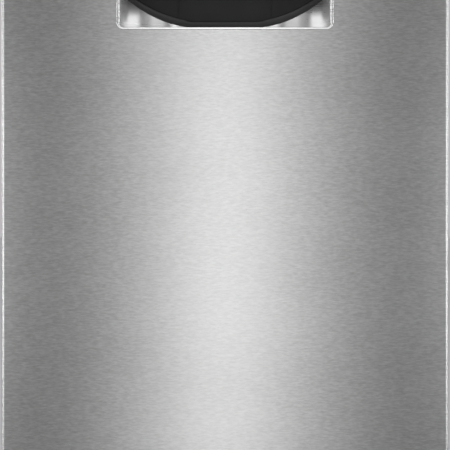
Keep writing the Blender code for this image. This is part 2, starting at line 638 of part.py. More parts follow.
def rail(name, sign, low, high):
    """Channel on the tub's side wall that a rack's runner slides in."""
    lip, web, back, wall = 0.2560, 0.2655, 0.2675, 0.0016
    outline = [(lip, low), (back, low), (back, high), (lip, high), (lip, high - wall), (web, high - wall),
               (web, low + wall), (lip, low + wall)]
    outline = [(sign * u, v) for u, v in outline]
    return prism(name, outline, "Y", -0.236, 0.236, TUB_STEEL)


# ------------------------------------------------------------------ door
def pan_rings(low, high, radius, steps, front, back, fold, fold_steps):
    """Rings of a pan in the XZ plane: its rim at back, its folded edge, and its face at front."""
    rings = [(0.0, back)]
    for i in range(fold_steps + 1):
        turn = math.radians(90 * i / fold_steps)
        rings.append((fold * (1 - math.cos(turn)), front + math.copysign(fold, back - front) * (1 - math.sin(turn))))
    made = []
    for inset, y in rings:
        outline = rounded_rectangle((low[0] + inset, low[1] + inset), (high[0] - inset, high[1] - inset),
                                    max(radius - inset, 0.0008), steps)
        made.append([(u, y, v) for u, v in outline])
    return made


def door_outer_panel():
    """Brushed steel front, folded back on all sides, with the opening for the handle."""
    rings = pan_rings((-WIDTH / 2, DOOR_LOW), (WIDTH / 2, DOOR_HIGH), 0.005, 2, DOOR_FACE, DOOR_FACE + DOOR_RETURN,
                      DOOR_FOLD, 4)
    made = thicken(loft("door_outer_panel", rings, BRUSHED, caps=(False, True)), DOOR_SHEET, -1)
    opening = rounded_rectangle((-POCKET_HALF - GAP, POCKET_LOW - GAP), (POCKET_HALF + GAP, POCKET_HIGH + GAP),
                                POCKET_CORNER + GAP)
    return cut(
        made,
        prism("pocket_opening_cutter", opening, "Y", -0.310, -0.290, BRUSHED),
        box("top_return_cutter", (-0.2960, -0.2895, 0.840), (0.2960, -0.2600, 0.855), BRUSHED),
        box("bottom_return_cutter", (-0.2960, -0.2895, 0.100), (0.2960, -0.2600, 0.1130), BRUSHED),
        box("left_lever_cutter", (-0.2960, -0.2990, 0.100), (-0.2660, -0.2600, 0.1130), BRUSHED),
        box("right_lever_cutter", (0.2660, -0.2990, 0.100), (0.2960, -0.2600, 0.1130), BRUSHED),
    )


def door_inner_liner():
    """Inner door, a pan that faces the tub, with the opening for the dispenser."""
    rings = pan_rings((-0.2955, LINER_LOW), (0.2955, LINER_HIGH), 0.006, 2, LINER_BACK, -0.2745, 0.003, 2)
    made = thicken(loft("door_inner_liner", rings, TUB_STEEL, caps=(False, True)), LINER_SHEET, -1)
    return cut(made, box("dispenser_opening_cutter", (-0.0585, -0.260, 0.5065), (0.0885, -0.240, 0.6135), TUB_STEEL))


def smile(x):
    """Height of the grip's lower edge at x: flat in the middle, then an arc up to each side."""
    return POCKET_LOW + RIM_WIDTH + max(0.0, abs(x) - SMILE_FLAT) ** 2 / (2 * SMILE_RADIUS)


def ear(side, sign):
    """Scooped steel corner of the handle, from the rim back to the grip's lower edge."""
    columns, rows, sheet, lap = 10, 5, 0.0025, 0.0006
    inner_x, outer_x = SMILE_FLAT + 0.012, POCKET_HALF - RIM_WIDTH + lap
    low = POCKET_LOW + RIM_WIDTH - lap
    bm = bmesh.new()
    front, back = [], []
    for i in range(columns + 1):
        x = inner_x + (outer_x - inner_x) * i / columns
        near_side = min(1.0, (outer_x - x) / 0.020)
        points = []
        for j in range(rows + 1):
            z = low + (smile(x) - low) * j / rows
            near_low = min(1.0, (z - low) / 0.022)
            scoop = math.sqrt(1 - (1 - near_low) ** 2) * math.sqrt(1 - (1 - near_side) ** 2)
            points.append((sign * x, DOOR_FACE + 0.001 + EAR_DEPTH * scoop, z))
        front.append([bm.verts.new(p) for p in points])
        back.append([bm.verts.new((p[0], p[1] + sheet, p[2])) for p in points])
    for grid in (front, back):
        for a, b in zip(grid, grid[1:]):
            for j in range(rows):
                bm.faces.new((a[j], b[j], a[j + 1]))
                bm.faces.new((b[j], b[j + 1], a[j + 1]))
    for i in range(columns):
        for j in (0, rows):
            bm.faces.new((front[i][j], front[i + 1][j], back[i + 1][j], back[i][j]))
    for i in (0, columns):
        for j in range(rows):
            bm.faces.new((front[i][j], front[i][j + 1], back[i][j + 1], back[i][j]))
    return new_object(f"handle_ear_{side}", bm, POLISHED)


def pocket_trim():
    """Bright trim of the handle: a rim round the pocket, and two scooped corners."""
    outer = rounded_rectangle((-POCKET_HALF, POCKET_LOW), (POCKET_HALF, POCKET_HIGH), POCKET_CORNER)
    inner = rounded_rectangle((-POCKET_HALF + RIM_WIDTH, POCKET_LOW + RIM_WIDTH),
                              (POCKET_HALF - RIM_WIDTH, POCKET_HIGH - RIM_WIDTH), POCKET_CORNER - RIM_WIDTH)
    front, back = FRONT, DOOR_FACE + 0.0055
    rings = [[(u, y, v) for u, v in outline]
             for outline, y in ((outer, front), (outer, back), (inner, back), (inner, front))]
    rim = ring_solid("pocket_trim", rings, POLISHED)
    return join(rim, *[ear(side, sign) for side, sign in SIDES.items()])


def ring_solid(name, rings, finish):
    """A closed ring: a skin over rings whose last joins the first."""
    bm = bmesh.new()
    rows = [[bm.verts.new(p) for p in ring] for ring in rings]
    count = len(rows[0])
    for a, b in zip(rows, rows[1:] + rows[:1]):
        for i in range(count):
            j = (i + 1) % count
            bm.faces.new((a[i], a[j], b[j], b[i]))
    return new_object(name, bm, finish)


def grip_cup():
    """Black plastic cup behind the trim, which the fingers pull on."""
    low, high = (-0.1485, 0.7525), (0.1485, 0.8240)
    rings = [[(u, y, v) for u, v in rounded_rectangle(low, high, 0.012, 3)] for y in (-0.2998, -0.2680)]
    rings.append([(u, -0.2590, v) for u, v in rounded_rectangle((low[0] + 0.009, low[1] + 0.009),
                                                                (high[0] - 0.009, high[1] - 0.009), 0.006, 3)])
    return thicken(loft("grip_cup", rings, BLACK, caps=(False, True)), 0.002, -1)


def control_fascia():
    """Control strip in the door's top edge, a box open below, with a hole for each button."""
    low, high = (-0.2935, -0.2890), (0.2935, LINER_BACK - GAP)
    rings = [[(u, v, z) for u, v in rounded_rectangle(low, high, 0.003, 2)] for z in (0.8262, FASCIA_TOP)]
    made = thicken(loft("control_fascia", rings, BLACK, caps=(False, True)), 0.0025, -1)
    holes = [box(f"{name}_hole_cutter", (x - 0.0092, BUTTON_Y - 0.0047, 0.84), (x + 0.0092, BUTTON_Y + 0.0047, 0.86),
                 BLACK) for name, x in BUTTONS.items()]
    return cut(made, *holes)


def button(name, x, body):
    outline = rounded_rectangle((x - 0.0087, BUTTON_Y - 0.0042), (x + 0.0087, BUTTON_Y + 0.0042), 0.0012, 1)
    made = prism(name, outline, "Z", 0.8440, FASCIA_TOP + 0.0015, GREY)
    axis = joint(f"{name}_axis", (x, BUTTON_Y, FASCIA_TOP))
    hang(axis, made)
    axis.parent = body
    axis.location -= body.location


def hinge_arm(side, sign):
    """Arm that carries the door on its pin, with the lever that compresses the door spring."""
    tip = (HINGE_Y + LEVER * math.cos(math.radians(-45)), HINGE_Z + LEVER * math.sin(math.radians(-45)))
    outline = arc(tip, 0.0065, -135, 45, 5) + [(HINGE_Y + 0.0085, HINGE_Z + 0.0035), (HINGE_Y + 0.0080, 0.185)]
    outline += [(LINER_BACK - 0.0013, 0.185), (LINER_BACK - 0.0013, 0.300), (-0.2950, 0.300)]
    outline += arc((HINGE_Y, HINGE_Z), 0.011, 170, 235, 3)
    x0, x1 = sorted((sign * 0.2830, sign * 0.2860))
    made = prism(f"hinge_arm_{side}", outline, "X", x0, x1, GALVANISED)
    f0, f1 = sorted((sign * 0.2640, sign * 0.2845))
    foot = box(f"arm_flange_{side}", (f0, -0.2545, 0.1900), (f1, LINER_BACK - 0.0016, 0.2950), GALVANISED)
    bore = rod(f"arm_bore_cutter_{side}", "X", (HINGE_Y, HINGE_Z), 0.0056, x0 - 0.004, x1 + 0.004, 16, GALVANISED)
    return cut(join(made, foot), bore)


def bottom_seal():
    return box("bottom_seal", (-0.246, LINER_BACK + GAP, 0.1510), (0.246, TUB_FRONT - 0.0006, 0.1600), RUBBER)


def latch_strike():
    """Steel loop on the door that the latch holds."""
    made = box("latch_strike", (-0.012, LINER_BACK, 0.8315), (0.012, -0.2220, 0.8365), GALVANISED)
    return cut(made, box("strike_eye_cutter", (-0.007, -0.2400, 0.82), (0.007, -0.2270, 0.85), GALVANISED))


def dispenser_body():
    """Detergent and rinse-aid dispenser, set through the inner door."""
    plate = rounded_rectangle((-0.0650, 0.450), (0.0950, 0.620), 0.010, 3)
    made = prism("dispenser_body", plate, "Y", LINER_BACK + GAP, -0.2440, GREY)
    tank = box("dispenser_tank", (-0.0580, -0.2720, 0.5070), (0.0880, -0.2460, 0.6130), GREY)
    cup = box("detergent_cup_cutter", (-0.0450, -0.2700, 0.5200), (0.0100, -0.2400, 0.6000), GREY)
    return cut(join(made, tank), cup)


def detergent_lid(body):
    outline = rounded_rectangle((-0.0475, 0.5175), (0.0125, 0.6025), 0.005, 2)
    made = prism("detergent_lid", outline, "Y", LID_Y, LID_Y + 0.0030, LIGHT_GREY)
    axis = joint("detergent_lid_axis", (-0.0175, LID_Y, 0.560))
    hang(axis, made)
    axis.parent = body
    axis.location -= body.location


def rinse_aid_cap(body):
    profile = [(0, LID_Y), (0.020, LID_Y), (0.020, LID_Y + 0.0030), (0.0185, LID_Y + 0.0045), (0, LID_Y + 0.0045)]
    made = turned("rinse_aid_cap", profile, "Y", (CAP_X, CAP_Z), 20, GREY)
    grip = box("cap_grip", (CAP_X - 0.0150, LID_Y + 0.003, CAP_Z - 0.0025), (CAP_X + 0.0150, LID_Y + 0.0085,
               CAP_Z + 0.0025), GREY)
    join(made, grip)
    axis = joint("rinse_aid_cap_axis", (CAP_X, LID_Y, CAP_Z))
    hang(axis, made)
    axis.parent = body
    axis.location -= body.location


def leveling_foot(place, centre):
    profile = [(0, 0), (0.022, 0), (0.022, 0.004), (0.015, 0.009), (0.0060, 0.0105), (0.0060, 0.064), (0, 0.064)]
    made = turned(f"leveling_foot_{place}", profile, "Z", centre, 16, BLACK)
    hang(joint(f"leveling_foot_{place}_axis", (*centre, 0)), made)


# ------------------------------------------------------------------ the machine
def build_casing():
    tub()
    tub_floor()
    tub_gasket()
    rear_panel()
    top_crossmember()
    base_tray()
    toe_kick()
    door_latch()
    for side, sign in SIDES.items():
        side_panel(side, sign)
        hinge_bracket(side, sign)
        door_spring(side, sign)
        rail(f"upper_rail_{side}", sign, 0.598, 0.626)
        rail(f"tray_rail_{side}", sign, 0.768, 0.790)
    for place, centre in FEET.items():
        leveling_foot(place, centre)


def build_wash_system():
    sump()
    coarse_filter()
    fine_filter()
    circulation_pump()
    circulation_impeller()
    drain_pump()
    inlet_valve()
    junction_box()
    feed_tube()
    lower = spray_arm("lower_spray_arm", (HUB_X, HUB_Y), 0.232, 0.044, 0.030, 0.1850, 0.1960, 0.0068, 0.1805,
                      0.2020, 0.1990)
    hang(joint("lower_spray_axis", (HUB_X, HUB_Y, 0.190)), lower)
    top = spray_arm("ceiling_spray_arm", (0, 0), 0.070, 0.026, 0.018, 0.7985, 0.8040, 0.0047, 0.7970, 0.8060, 0.8100)
    hang(joint("ceiling_spray_axis", (0, 0, 0.800)), top)


def build_racks():
    lower_body = joint("lower_rack_slide", (0, 0, LOWER_RACK_FLOOR))
    lower_rack(lower_body)
    fold_tines(lower_body)
    cutlery_basket(lower_body)
    upper_body = joint("upper_rack_slide", (0, 0, UPPER_RACK_FLOOR))
    upper_rack(upper_body)
    for side, sign in SIDES.items():
        cup_shelf(side, sign, upper_body)
    arm = spray_arm("upper_spray_arm", (0, 0), 0.205, 0.036, 0.024, 0.5180, 0.5270, 0.0057, 0.5165, 0.5340, 0.5400)
    axis = joint("upper_spray_axis", (0, 0, 0.522))
    hang(axis, arm)
    axis.parent = upper_body
    axis.location -= upper_body.location
    cutlery_tray(joint("cutlery_tray_slide", (0, 0, TRAY_FLOOR)))


def build_door():
    door = joint("door_hinge", (0, HINGE_Y, HINGE_Z))
    fixed = [door_outer_panel(), door_inner_liner(), pocket_trim(), grip_cup(), control_fascia(), bottom_seal(),
             latch_strike(), dispenser_body()]
    fixed += [hinge_arm(side, sign) for side, sign in SIDES.items()]
    hang(door, *fixed)
    detergent_lid(door)
    rinse_aid_cap(door)
    for name, x in BUTTONS.items():
        button(name, x, door)


build_casing()
build_wash_system()
build_racks()
build_door()
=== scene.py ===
"""Looks of the built-in dishwasher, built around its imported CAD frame.

Everything is in metres in the CAD's own frame: +Z up, the floor at z = 0, the door facing -Y.
"""

import math

import bmesh
import bpy
import numpy as np
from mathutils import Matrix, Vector

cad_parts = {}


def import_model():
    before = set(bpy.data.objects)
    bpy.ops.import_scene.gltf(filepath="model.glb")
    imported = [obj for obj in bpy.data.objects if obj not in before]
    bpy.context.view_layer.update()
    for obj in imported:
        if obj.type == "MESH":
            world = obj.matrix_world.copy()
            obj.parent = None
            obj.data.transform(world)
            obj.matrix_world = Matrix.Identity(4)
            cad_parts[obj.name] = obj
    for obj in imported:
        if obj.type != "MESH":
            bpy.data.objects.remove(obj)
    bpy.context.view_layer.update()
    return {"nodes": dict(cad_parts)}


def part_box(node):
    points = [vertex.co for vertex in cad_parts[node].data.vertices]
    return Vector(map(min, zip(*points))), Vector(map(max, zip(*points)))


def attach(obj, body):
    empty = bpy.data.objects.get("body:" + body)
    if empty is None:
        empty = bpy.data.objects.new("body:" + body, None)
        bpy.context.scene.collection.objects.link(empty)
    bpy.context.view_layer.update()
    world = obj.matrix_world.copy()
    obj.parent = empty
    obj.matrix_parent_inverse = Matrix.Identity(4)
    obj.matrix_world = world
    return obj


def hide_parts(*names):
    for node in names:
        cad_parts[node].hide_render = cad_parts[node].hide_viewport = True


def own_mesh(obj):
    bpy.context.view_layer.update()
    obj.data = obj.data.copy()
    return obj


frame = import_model()

SIDES = {"left": -1, "right": 1}
DOOR_LOW, DOOR_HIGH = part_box("door_outer_panel")
DOOR_FACE = DOOR_LOW.y
TRIM_LOW, TRIM_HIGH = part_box("pocket_trim")


# ------------------------------------------------------------------ materials
class Nodes:
    """A node tree, with short ways to add to it."""

    def __init__(self, tree):
        self.tree = tree

    def node(self, kind, values=(), **settings):
        made = self.tree.nodes.new(kind)
        for key, value in settings.items():
            setattr(made, key, value)
        for socket, value in dict(values).items():
            made.inputs[socket].default_value = value
        return made

    def link(self, source, target):
        self.tree.links.new(source, target)

    def remap(self, source, low, high, start=0.3, end=0.7, **settings):
        ends = {"From Min": start, "From Max": end, "To Min": low, "To Max": high}
        made = self.node("ShaderNodeMapRange", ends, **settings)
        self.link(source, made.inputs["Value"])
        return made.outputs["Result"]

    def math(self, operation, a, b=0.0):
        made = self.node("ShaderNodeMath", operation=operation)
        for socket, value in zip(made.inputs, (a, b)):
            if isinstance(value, (int, float)):
                socket.default_value = value
            else:
                self.link(value, socket)
        return made.outputs[0]

    def mixed(self, a, b, share):
        return self.math("ADD", self.math("MULTIPLY", a, share), self.math("MULTIPLY", b, 1 - share))


class Finish(Nodes):
    """A Principled material with its node tree at hand. A scale is one number or one for each direction."""

    def __init__(self, name, metallic=0.0, **sockets):
        self.material = bpy.data.materials.new(name)
        self.material.use_nodes = True
        super().__init__(self.material.node_tree)
        self.shader = self.tree.nodes["Principled BSDF"]
        self.shader.inputs["Metallic"].default_value = metallic
        for socket, value in sockets.items():
            self.shader.inputs[socket.replace("_", " ")].default_value = value
        self.place = self.node("ShaderNodeTexCoord").outputs["Object"]

    def texture(self, kind, scale, values):
        mapping = self.node("ShaderNodeMapping", {"Scale": scale if isinstance(scale, tuple) else (scale,) * 3})
        self.link(self.place, mapping.inputs["Vector"])
        made = self.node(kind, {"Scale": 1.0, **values})
        self.link(mapping.outputs["Vector"], made.inputs["Vector"])
        return made.outputs

    def noise(self, scale, detail=3.0, roughness=0.5, distortion=0.0):
        values = {"Detail": detail, "Roughness": roughness, "Distortion": distortion}
        return self.texture("ShaderNodeTexNoise", scale, values)["Fac"]

    def cells(self, scale, output="Distance", randomness=1.0):
        return self.texture("ShaderNodeTexVoronoi", scale, {"Randomness": randomness})[output]

    def colour(self, factor, dark, light, start=0.3, end=0.7):
        ramp = self.node("ShaderNodeValToRGB")
        for element, place, shade in zip(ramp.color_ramp.elements, (start, end), (dark, light)):
            element.position = place
            element.color = (*shade, 1)
        self.link(factor, ramp.inputs["Fac"])
        self.link(ramp.outputs["Color"], self.shader.inputs["Base Color"])

    def roughness(self, factor, low, high, start=0.3, end=0.7):
        self.link(self.remap(factor, low, high, start, end), self.shader.inputs["Roughness"])

    def bump(self, height, distance, strength):
        made = self.node("ShaderNodeBump", {"Strength": strength, "Distance": distance})
        self.link(height, made.inputs["Height"])
        self.link(made.outputs["Normal"], self.shader.inputs["Normal"])


def grey(level, tint=0.0):
    return (level * (1 - tint), level, level * (1 + tint))


def brushed_steel(name, level, rough, anisotropy, streak, amount):
    """Steel brushed along the horizontal. streak is the size of its scratches: along, and across."""
    made = Finish(name, metallic=1.0, Anisotropic=anisotropy, Anisotropic_Rotation=0.25)
    tangent = made.node("ShaderNodeTangent", direction_type="RADIAL", axis="Z")
    made.link(tangent.outputs["Tangent"], made.shader.inputs["Tangent"])
    along, across = 1 / streak[0], 1 / streak[1]
    fine = made.noise((along, along, across), 4.0, 0.6)
    broad = made.noise((4, 4, 9), 2.0)
    made.colour(made.mixed(fine, broad, 0.85), grey(level * (1 - amount)), grey(level * (1 + amount)))
    made.roughness(fine, rough * 0.93, rough * 1.07)
    made.bump(fine, 0.00002, 0.25)
    return made.material


def smooth_steel(name, level, rough, metallic=1.0, drawn=0.15):
    """Bright rolled steel with water marks and faint drawing lines. drawn is the strength of the lines."""
    made = Finish(name, metallic=metallic)
    lines = made.noise((12, 12, 700))
    marks = made.noise((9, 9, 7), 5.0, 0.6, 0.6)
    made.colour(marks, grey(level * 0.965), grey(level * 1.02, 0.004))
    made.roughness(made.mixed(lines, marks, 0.5), rough * 0.88, rough * 1.14)
    made.bump(lines, 0.00002, drawn)
    return made.material


def galvanised_steel(name):
    """Zinc-coated sheet with its spangle."""
    made = Finish(name, metallic=1.0)
    split = made.node("ShaderNodeSeparateColor")
    made.link(made.cells((140, 140, 110), "Color"), split.inputs["Color"])
    made.colour(split.outputs["Red"], grey(0.52), grey(0.59, 0.01), 0.1, 0.9)
    made.roughness(split.outputs["Green"], 0.38, 0.46, 0.1, 0.9)
    made.bump(made.noise(60, 4.0), 0.0001, 0.1)
    return made.material


def filter_mesh(name, pitch):
    """Steel sheet with a fine field of punched holes. The holes are painted near-black: painted shade seen through
    them.
    """
    made = Finish(name, metallic=1.0)
    holes = made.cells(1 / pitch, randomness=0.0)
    # near-black in each hole: painted shade
    made.colour(holes, grey(0.015), grey(0.55), 0.26, 0.34)
    made.roughness(made.noise(60), 0.25, 0.4)
    made.bump(made.remap(holes, 0.0, 1.0, 0.22, 0.36), 0.0004, 0.6)
    return made.material


def uneven(name, *looks, **sockets):
    """A finish whose colour, roughness and bump each follow a noise: its scale and detail, then the two ends."""
    made = Finish(name, **sockets)
    for use, (noise, *ends) in zip((made.colour, made.roughness, made.bump), looks):
        use(made.noise(*noise), *ends)
    return made.material


def plastic(name, level, rough, grain=1600.0, depth=0.00003, tint=0.0, vary=0.12, shine=0.5):
    """Moulded plastic with a fine texture and slight unevenness."""
    return uneven(name, ((14, 5.0), grey(level * (1 - vary), tint), grey(level * (1 + vary), tint)),
                  ((40, 4.0), rough * 0.85, rough * 1.15), ((grain, 2.0), depth, 0.5), Specular_IOR_Level=shine)


M = {
    "front": brushed_steel("brushed_front", 0.6, 0.36, 0.75, (0.0078, 0.0017), 0.19),
    "satin": smooth_steel("satin_trim", 0.43, 0.29, drawn=0.02),
    # The pocket's rim: polished steel made near-white and partly matt, so that it looks bright from every side:
    # painted sheen.
    "rim": smooth_steel("rim_painted_sheen", 0.88, 0.28, 0.6, 0.02),
    "tub": smooth_steel("tub_steel", 0.62, 0.24),
    "liner": smooth_steel("liner_steel", 0.6, 0.27),
    "zinc": galvanised_steel("galvanised"),
    "spring": smooth_steel("spring_steel", 0.3, 0.35),
    "screw": smooth_steel("screw_steel", 0.55, 0.3),
    "black": plastic("black_plastic", 0.018, 0.38),
    # The grip's lip and core are one black plastic: the lip is painted lighter where it faces up to the lamps
    # (painted light), the core darker deep in the pocket (painted shade). The darker black also serves as painted
    # shade in the spray nozzles, and on a small round part of the dispenser's trim.
    "grip": plastic("grip_lip_painted_light", 0.045, 0.42, 1200.0),
    "core": plastic("black_and_painted_shade", 0.01, 0.5, 1200.0, shine=0.25),
    "base": plastic("base_plastic", 0.055, 0.52, 900.0, 0.00005),
    "grey": plastic("grey_plastic", 0.25, 0.42, tint=0.02),
    "dark": plastic("dark_grey_plastic", 0.09, 0.42, tint=0.02),
    "light": plastic("light_plastic", 0.52, 0.36, tint=0.012, vary=0.05),
    "wire": uneven("rack_coating", ((30, 4.0), grey(0.27, 0.03), grey(0.34, 0.03)), ((90, 3.0), 0.3, 0.42),
                   ((220, 3.0), 0.0003, 0.25), Coat_Weight=0.15, Coat_Roughness=0.25),
    "rubber": uneven("seal_rubber", ((50, 5.0), grey(0.022), grey(0.04)), ((200, 4.0), 0.58, 0.78),
                     ((900, 3.0), 0.0001, 0.4)),
    "mesh": filter_mesh("filter_mesh", 0.0022),
    "mat": uneven("bitumen_mat", ((35, 6.0, 0.6), grey(0.016), grey(0.035)), ((70, 5.0), 0.55, 0.8),
                  ((45, 6.0, 0.6), 0.0025, 0.45)),
    "display": plastic("display_window", 0.012, 0.07, depth=0.000004),
}


# ------------------------------------------------------------------ outlines and paths
PLACES = {"X": lambda u, v, w: (w, u, v), "Y": lambda u, v, w: (u, w, v), "Z": lambda u, v, w: (u, v, w)}


def arc(centre, radius, start, end, steps):
    turns = [math.radians(start + (end - start) * i / steps) for i in range(steps + 1)]
    return [(centre[0] + radius * math.cos(t), centre[1] + radius * math.sin(t)) for t in turns]


def around(centre, radius, count, start=0):
    """Places evenly spaced on a circle."""
    return arc(centre, radius, start, start + 360, count)[:-1]


def quarter(radius, at):
    """The bend at a sheet's edge, as rings (outset, place along the axis)."""
    turns = [math.radians(22.5 * k) for k in range(1, 5)]
    return [(radius * math.sin(t), at - radius * (1 - math.cos(t))) for t in turns]


def spaced(start, step, count):
    return [start + step * i for i in range(count)]


def ridges(start, end, step, ridge):
    """Part of a lathe's profile: as many ridges as begin between start and end, each of (radius, place) points."""
    made = []
    while (end - start) * step > 0:
        made += [(radius, start + place) for radius, place in ridge]
        start += step
    return made


def rounded(low, high, radius, corner=6):
    """Rounded rectangle with `corner` steps on each corner."""
    (u0, v0), (u1, v1) = low, high
    points = []
    for u, v, su, sv, start in ((u0, v0, 1, 1, 180), (u1, v0, -1, 1, 270), (u1, v1, -1, -1, 0), (u0, v1, 1, -1, 90)):
        points += arc((u + su * radius, v + sv * radius), radius, start, start + 90, corner)
    return points


def inside(low, high, inset, inset_v=None):
    """A rectangle's corners, moved inwards."""
    move = (inset, inset if inset_v is None else inset_v)
    return [a + b for a, b in zip(low, move)], [a - b for a, b in zip(high, move)]


def filleted(points, radius, steps):
    """The path with its corners rounded to about that radius."""
    points = [Vector(p) for p in points]
    made = points[:1]
    for before, p, after in zip(points, points[1:], points[2:]):
        before, after = before - p, after - p
        reach = min(radius, before.length * 0.45, after.length * 0.45)
        a, b = p + before.normalized() * reach, p + after.normalized() * reach
        for k in range(steps + 1):
            t = k / steps
            made.append(a * (1 - t) ** 2 + p * 2 * t * (1 - t) + b * t * t)
    return made + points[-1:]


# ------------------------------------------------------------------ building pieces
class Shape:
    """Geometry gathered from parts, which becomes one piece."""

    def __init__(self):
        self.verts, self.faces, self.slots = [], [], []

    def add(self, verts, faces, slot=0):
        base = len(self.verts)
        self.verts += [tuple(v) for v in verts]
        self.faces += [tuple(base + i for i in f) for f in faces]
        self.slots += [slot] * len(faces)
        return self

    def skin(self, verts, faces, slot, bevel=0.0):
        """Faces turned to look outwards, with their sharp edges bevelled."""
        bm = bmesh.new()
        made = [bm.verts.new(v) for v in verts]
        for f in faces:
            bm.faces.new([made[i] for i in f])
        bmesh.ops.recalc_face_normals(bm, faces=bm.faces)
        if bevel:
            sharp = [e for e in bm.edges if len(e.link_faces) == 2 and e.calc_face_angle(0) > math.radians(25)]
            bmesh.ops.bevel(bm, geom=sharp, offset=bevel, segments=2, profile=0.5, affect="EDGES", clamp_overlap=True)
        bm.verts.index_update()
        self.add([v.co for v in bm.verts], [[v.index for v in f.verts] for f in bm.faces], slot)
        bm.free()
        return self

    def loft(self, rings, caps=(True, True), closed=False, slot=0, bevel=0.0):
        """A skin over rings of as many points each. closed joins the last ring to the first."""
        count, last = len(rings[0]), len(rings) - 1
        faces = []
        for k in range(len(rings) if closed else last):
            a, b = k * count, (k + 1) % len(rings) * count
            faces += [(a + i, a + (i + 1) % count, b + (i + 1) % count, b + i) for i in range(count)]
        if not closed:
            faces += [range(k * count, (k + 1) * count) for k, cap in zip((0, last), caps) if cap]
        return self.skin([p for ring in rings for p in ring], faces, slot, bevel)

    def prism(self, outline, axis, start, end, slot=0, bevel=0.0006):
        place = PLACES[axis]
        return self.loft([[place(u, v, w) for u, v in outline] for w in (start, end)], slot=slot, bevel=bevel)

    def box(self, low, high, slot=0, bevel=0.0006):
        (x0, x1), (y0, y1), (z0, z1) = [sorted(ends) for ends in zip(low, high)]
        return self.prism([(x0, y0), (x1, y0), (x1, y1), (x0, y1)], "Z", z0, z1, slot, bevel)

    def lathe(self, profile, axis, centre, sides=48, slot=0):
        """A profile of (radius, place along the axis) turned round it. Radius 0 closes an end."""
        place = PLACES[axis]
        verts, rows, faces = [], [], []
        for r, w in profile:
            if r == 0:
                rows.append([len(verts)] * sides)
                verts.append(place(*centre, w))
            else:
                rows.append(list(range(len(verts), len(verts) + sides)))
                verts += [place(u, v, w) for u, v in around(centre, r, sides)]
        pairs = list(zip(rows, rows[1:]))
        if profile[0][0] or profile[-1][0]:
            pairs.append((rows[-1], rows[0]))
        for a, b in pairs:
            for i in range(sides):
                j = (i + 1) % sides
                corners = list(dict.fromkeys((a[i], a[j], b[j], b[i])))
                if len(corners) > 2:
                    faces.append(corners)
        return self.skin(verts, faces, slot)

    def disc(self, axis, centre, radius, start, end, sides=48, slot=0):
        return self.lathe([(0, start), (radius, start), (radius, end), (0, end)], axis, centre, sides, slot)

    def ring(self, axis, centre, inner, outer, start, end, sides=48):
        return self.lathe([(inner, start), (outer, start), (outer, end), (inner, end)], axis, centre, sides)

    def rod(self, axis, centre, radius, start, end, sides=24, slot=0, edge=0.0005):
        """A cylinder with chamfered ends."""
        edge = math.copysign(min(edge, radius / 3), end - start)
        profile = [(0, start), (radius - abs(edge), start), (radius, start + edge), (radius, end - edge),
                   (radius - abs(edge), end), (0, end)]
        return self.lathe(profile, axis, centre, sides, slot)

    def tube(self, points, radius, sides=8, closed=False, slot=0):
        """A round wire along a path."""
        points = [Vector(p) for p in points]
        count = len(points)
        forward = []
        for i in range(count):
            if closed:
                step = points[(i + 1) % count] - points[i - 1]
            else:
                step = points[min(i + 1, count - 1)] - points[max(i - 1, 0)]
            forward.append(step.normalized())
        up = Vector((0, 0, 1)) if abs(forward[0].z) < 0.9 else Vector((1, 0, 0))
        rings = []
        for p, t in zip(points, forward):
            up = (up - t * up.dot(t)).normalized()
            side = t.cross(up)
            rings.append([p + radius * (math.cos(a) * up + math.sin(a) * side)
                          for a in (2 * math.pi * k / sides for k in range(sides))])
        if closed:
            return self.loft(rings, closed=True, slot=slot)
        dome = [[p + (q - p) * 0.5 + t * radius * 0.45 * way for q in ring]
                for p, t, ring, way in zip((points[0], points[-1]), (forward[0], forward[-1]), (rings[0], rings[-1]),
                                           (-1, 1))]
        return self.loft([dome[0]] + rings + [dome[1]], slot=slot)

    def slab(self, front, back):
        """Two grids of as many points, closed round their borders."""
        rows, cols = front.shape[:2]
        half = rows * cols
        faces = []
        for i in range(rows - 1):
            for j in range(cols - 1):
                a, b, c, d = i * cols + j, (i + 1) * cols + j, (i + 1) * cols + j + 1, i * cols + j + 1
                faces += [(a, b, c, d), (half + d, half + c, half + b, half + a)]
        border = [(i, 0) for i in range(rows)] + [(rows - 1, j) for j in range(1, cols)]
        border += [(i, cols - 1) for i in range(rows - 2, -1, -1)] + [(0, j) for j in range(cols - 2, 0, -1)]
        ids = [i * cols + j for i, j in border]
        for a, b in zip(ids, ids[1:] + ids[:1]):
            faces.append((b, a, half + a, half + b))
        return self.skin(list(front.reshape(-1, 3)) + list(back.reshape(-1, 3)), faces, 0)

    def new_object(self, name):
        mesh = bpy.data.meshes.new(name)
        mesh.from_pydata(self.verts, [], self.faces)
        obj = bpy.data.objects.new(name, mesh)
        bpy.context.scene.collection.objects.link(obj)
        return obj

    def piece(self, name, body, finishes, replaces=(), slot=None, cutters=(), smooth=32, weighted=True, solid=0.0):
        obj = self.new_object(name)
        for key in [finishes] if isinstance(finishes, str) else finishes:
            obj.data.materials.append(M[key])
        obj.data.polygons.foreach_set("material_index", self.slots)
        if solid:
            step = obj.modifiers.new("sheet", "SOLIDIFY")
            step.thickness = solid
            step.offset = -1
            step.use_even_offset = True
        tools = [shape.new_object("cutter") for shape in cutters]
        for tool in tools:
            step = obj.modifiers.new("cut", "BOOLEAN")
            step.operation = "DIFFERENCE"
            step.object = tool
        if solid or tools:
            bpy.context.view_layer.update()
            evaluated = obj.evaluated_get(bpy.context.evaluated_depsgraph_get())
            applied = bpy.data.meshes.new_from_object(evaluated)
            obj.modifiers.clear()
            obj.data = applied
            for tool in tools:
                bpy.data.objects.remove(tool)
        obj.data.shade_smooth()
        obj.data.set_sharp_from_angle(angle=math.radians(smooth))
        if weighted:
            obj.modifiers.new("normals", "WEIGHTED_NORMAL").keep_sharp = True
        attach(obj, body)
        if replaces:
            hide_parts(*([replaces] if isinstance(replaces, str) else replaces))
        return obj


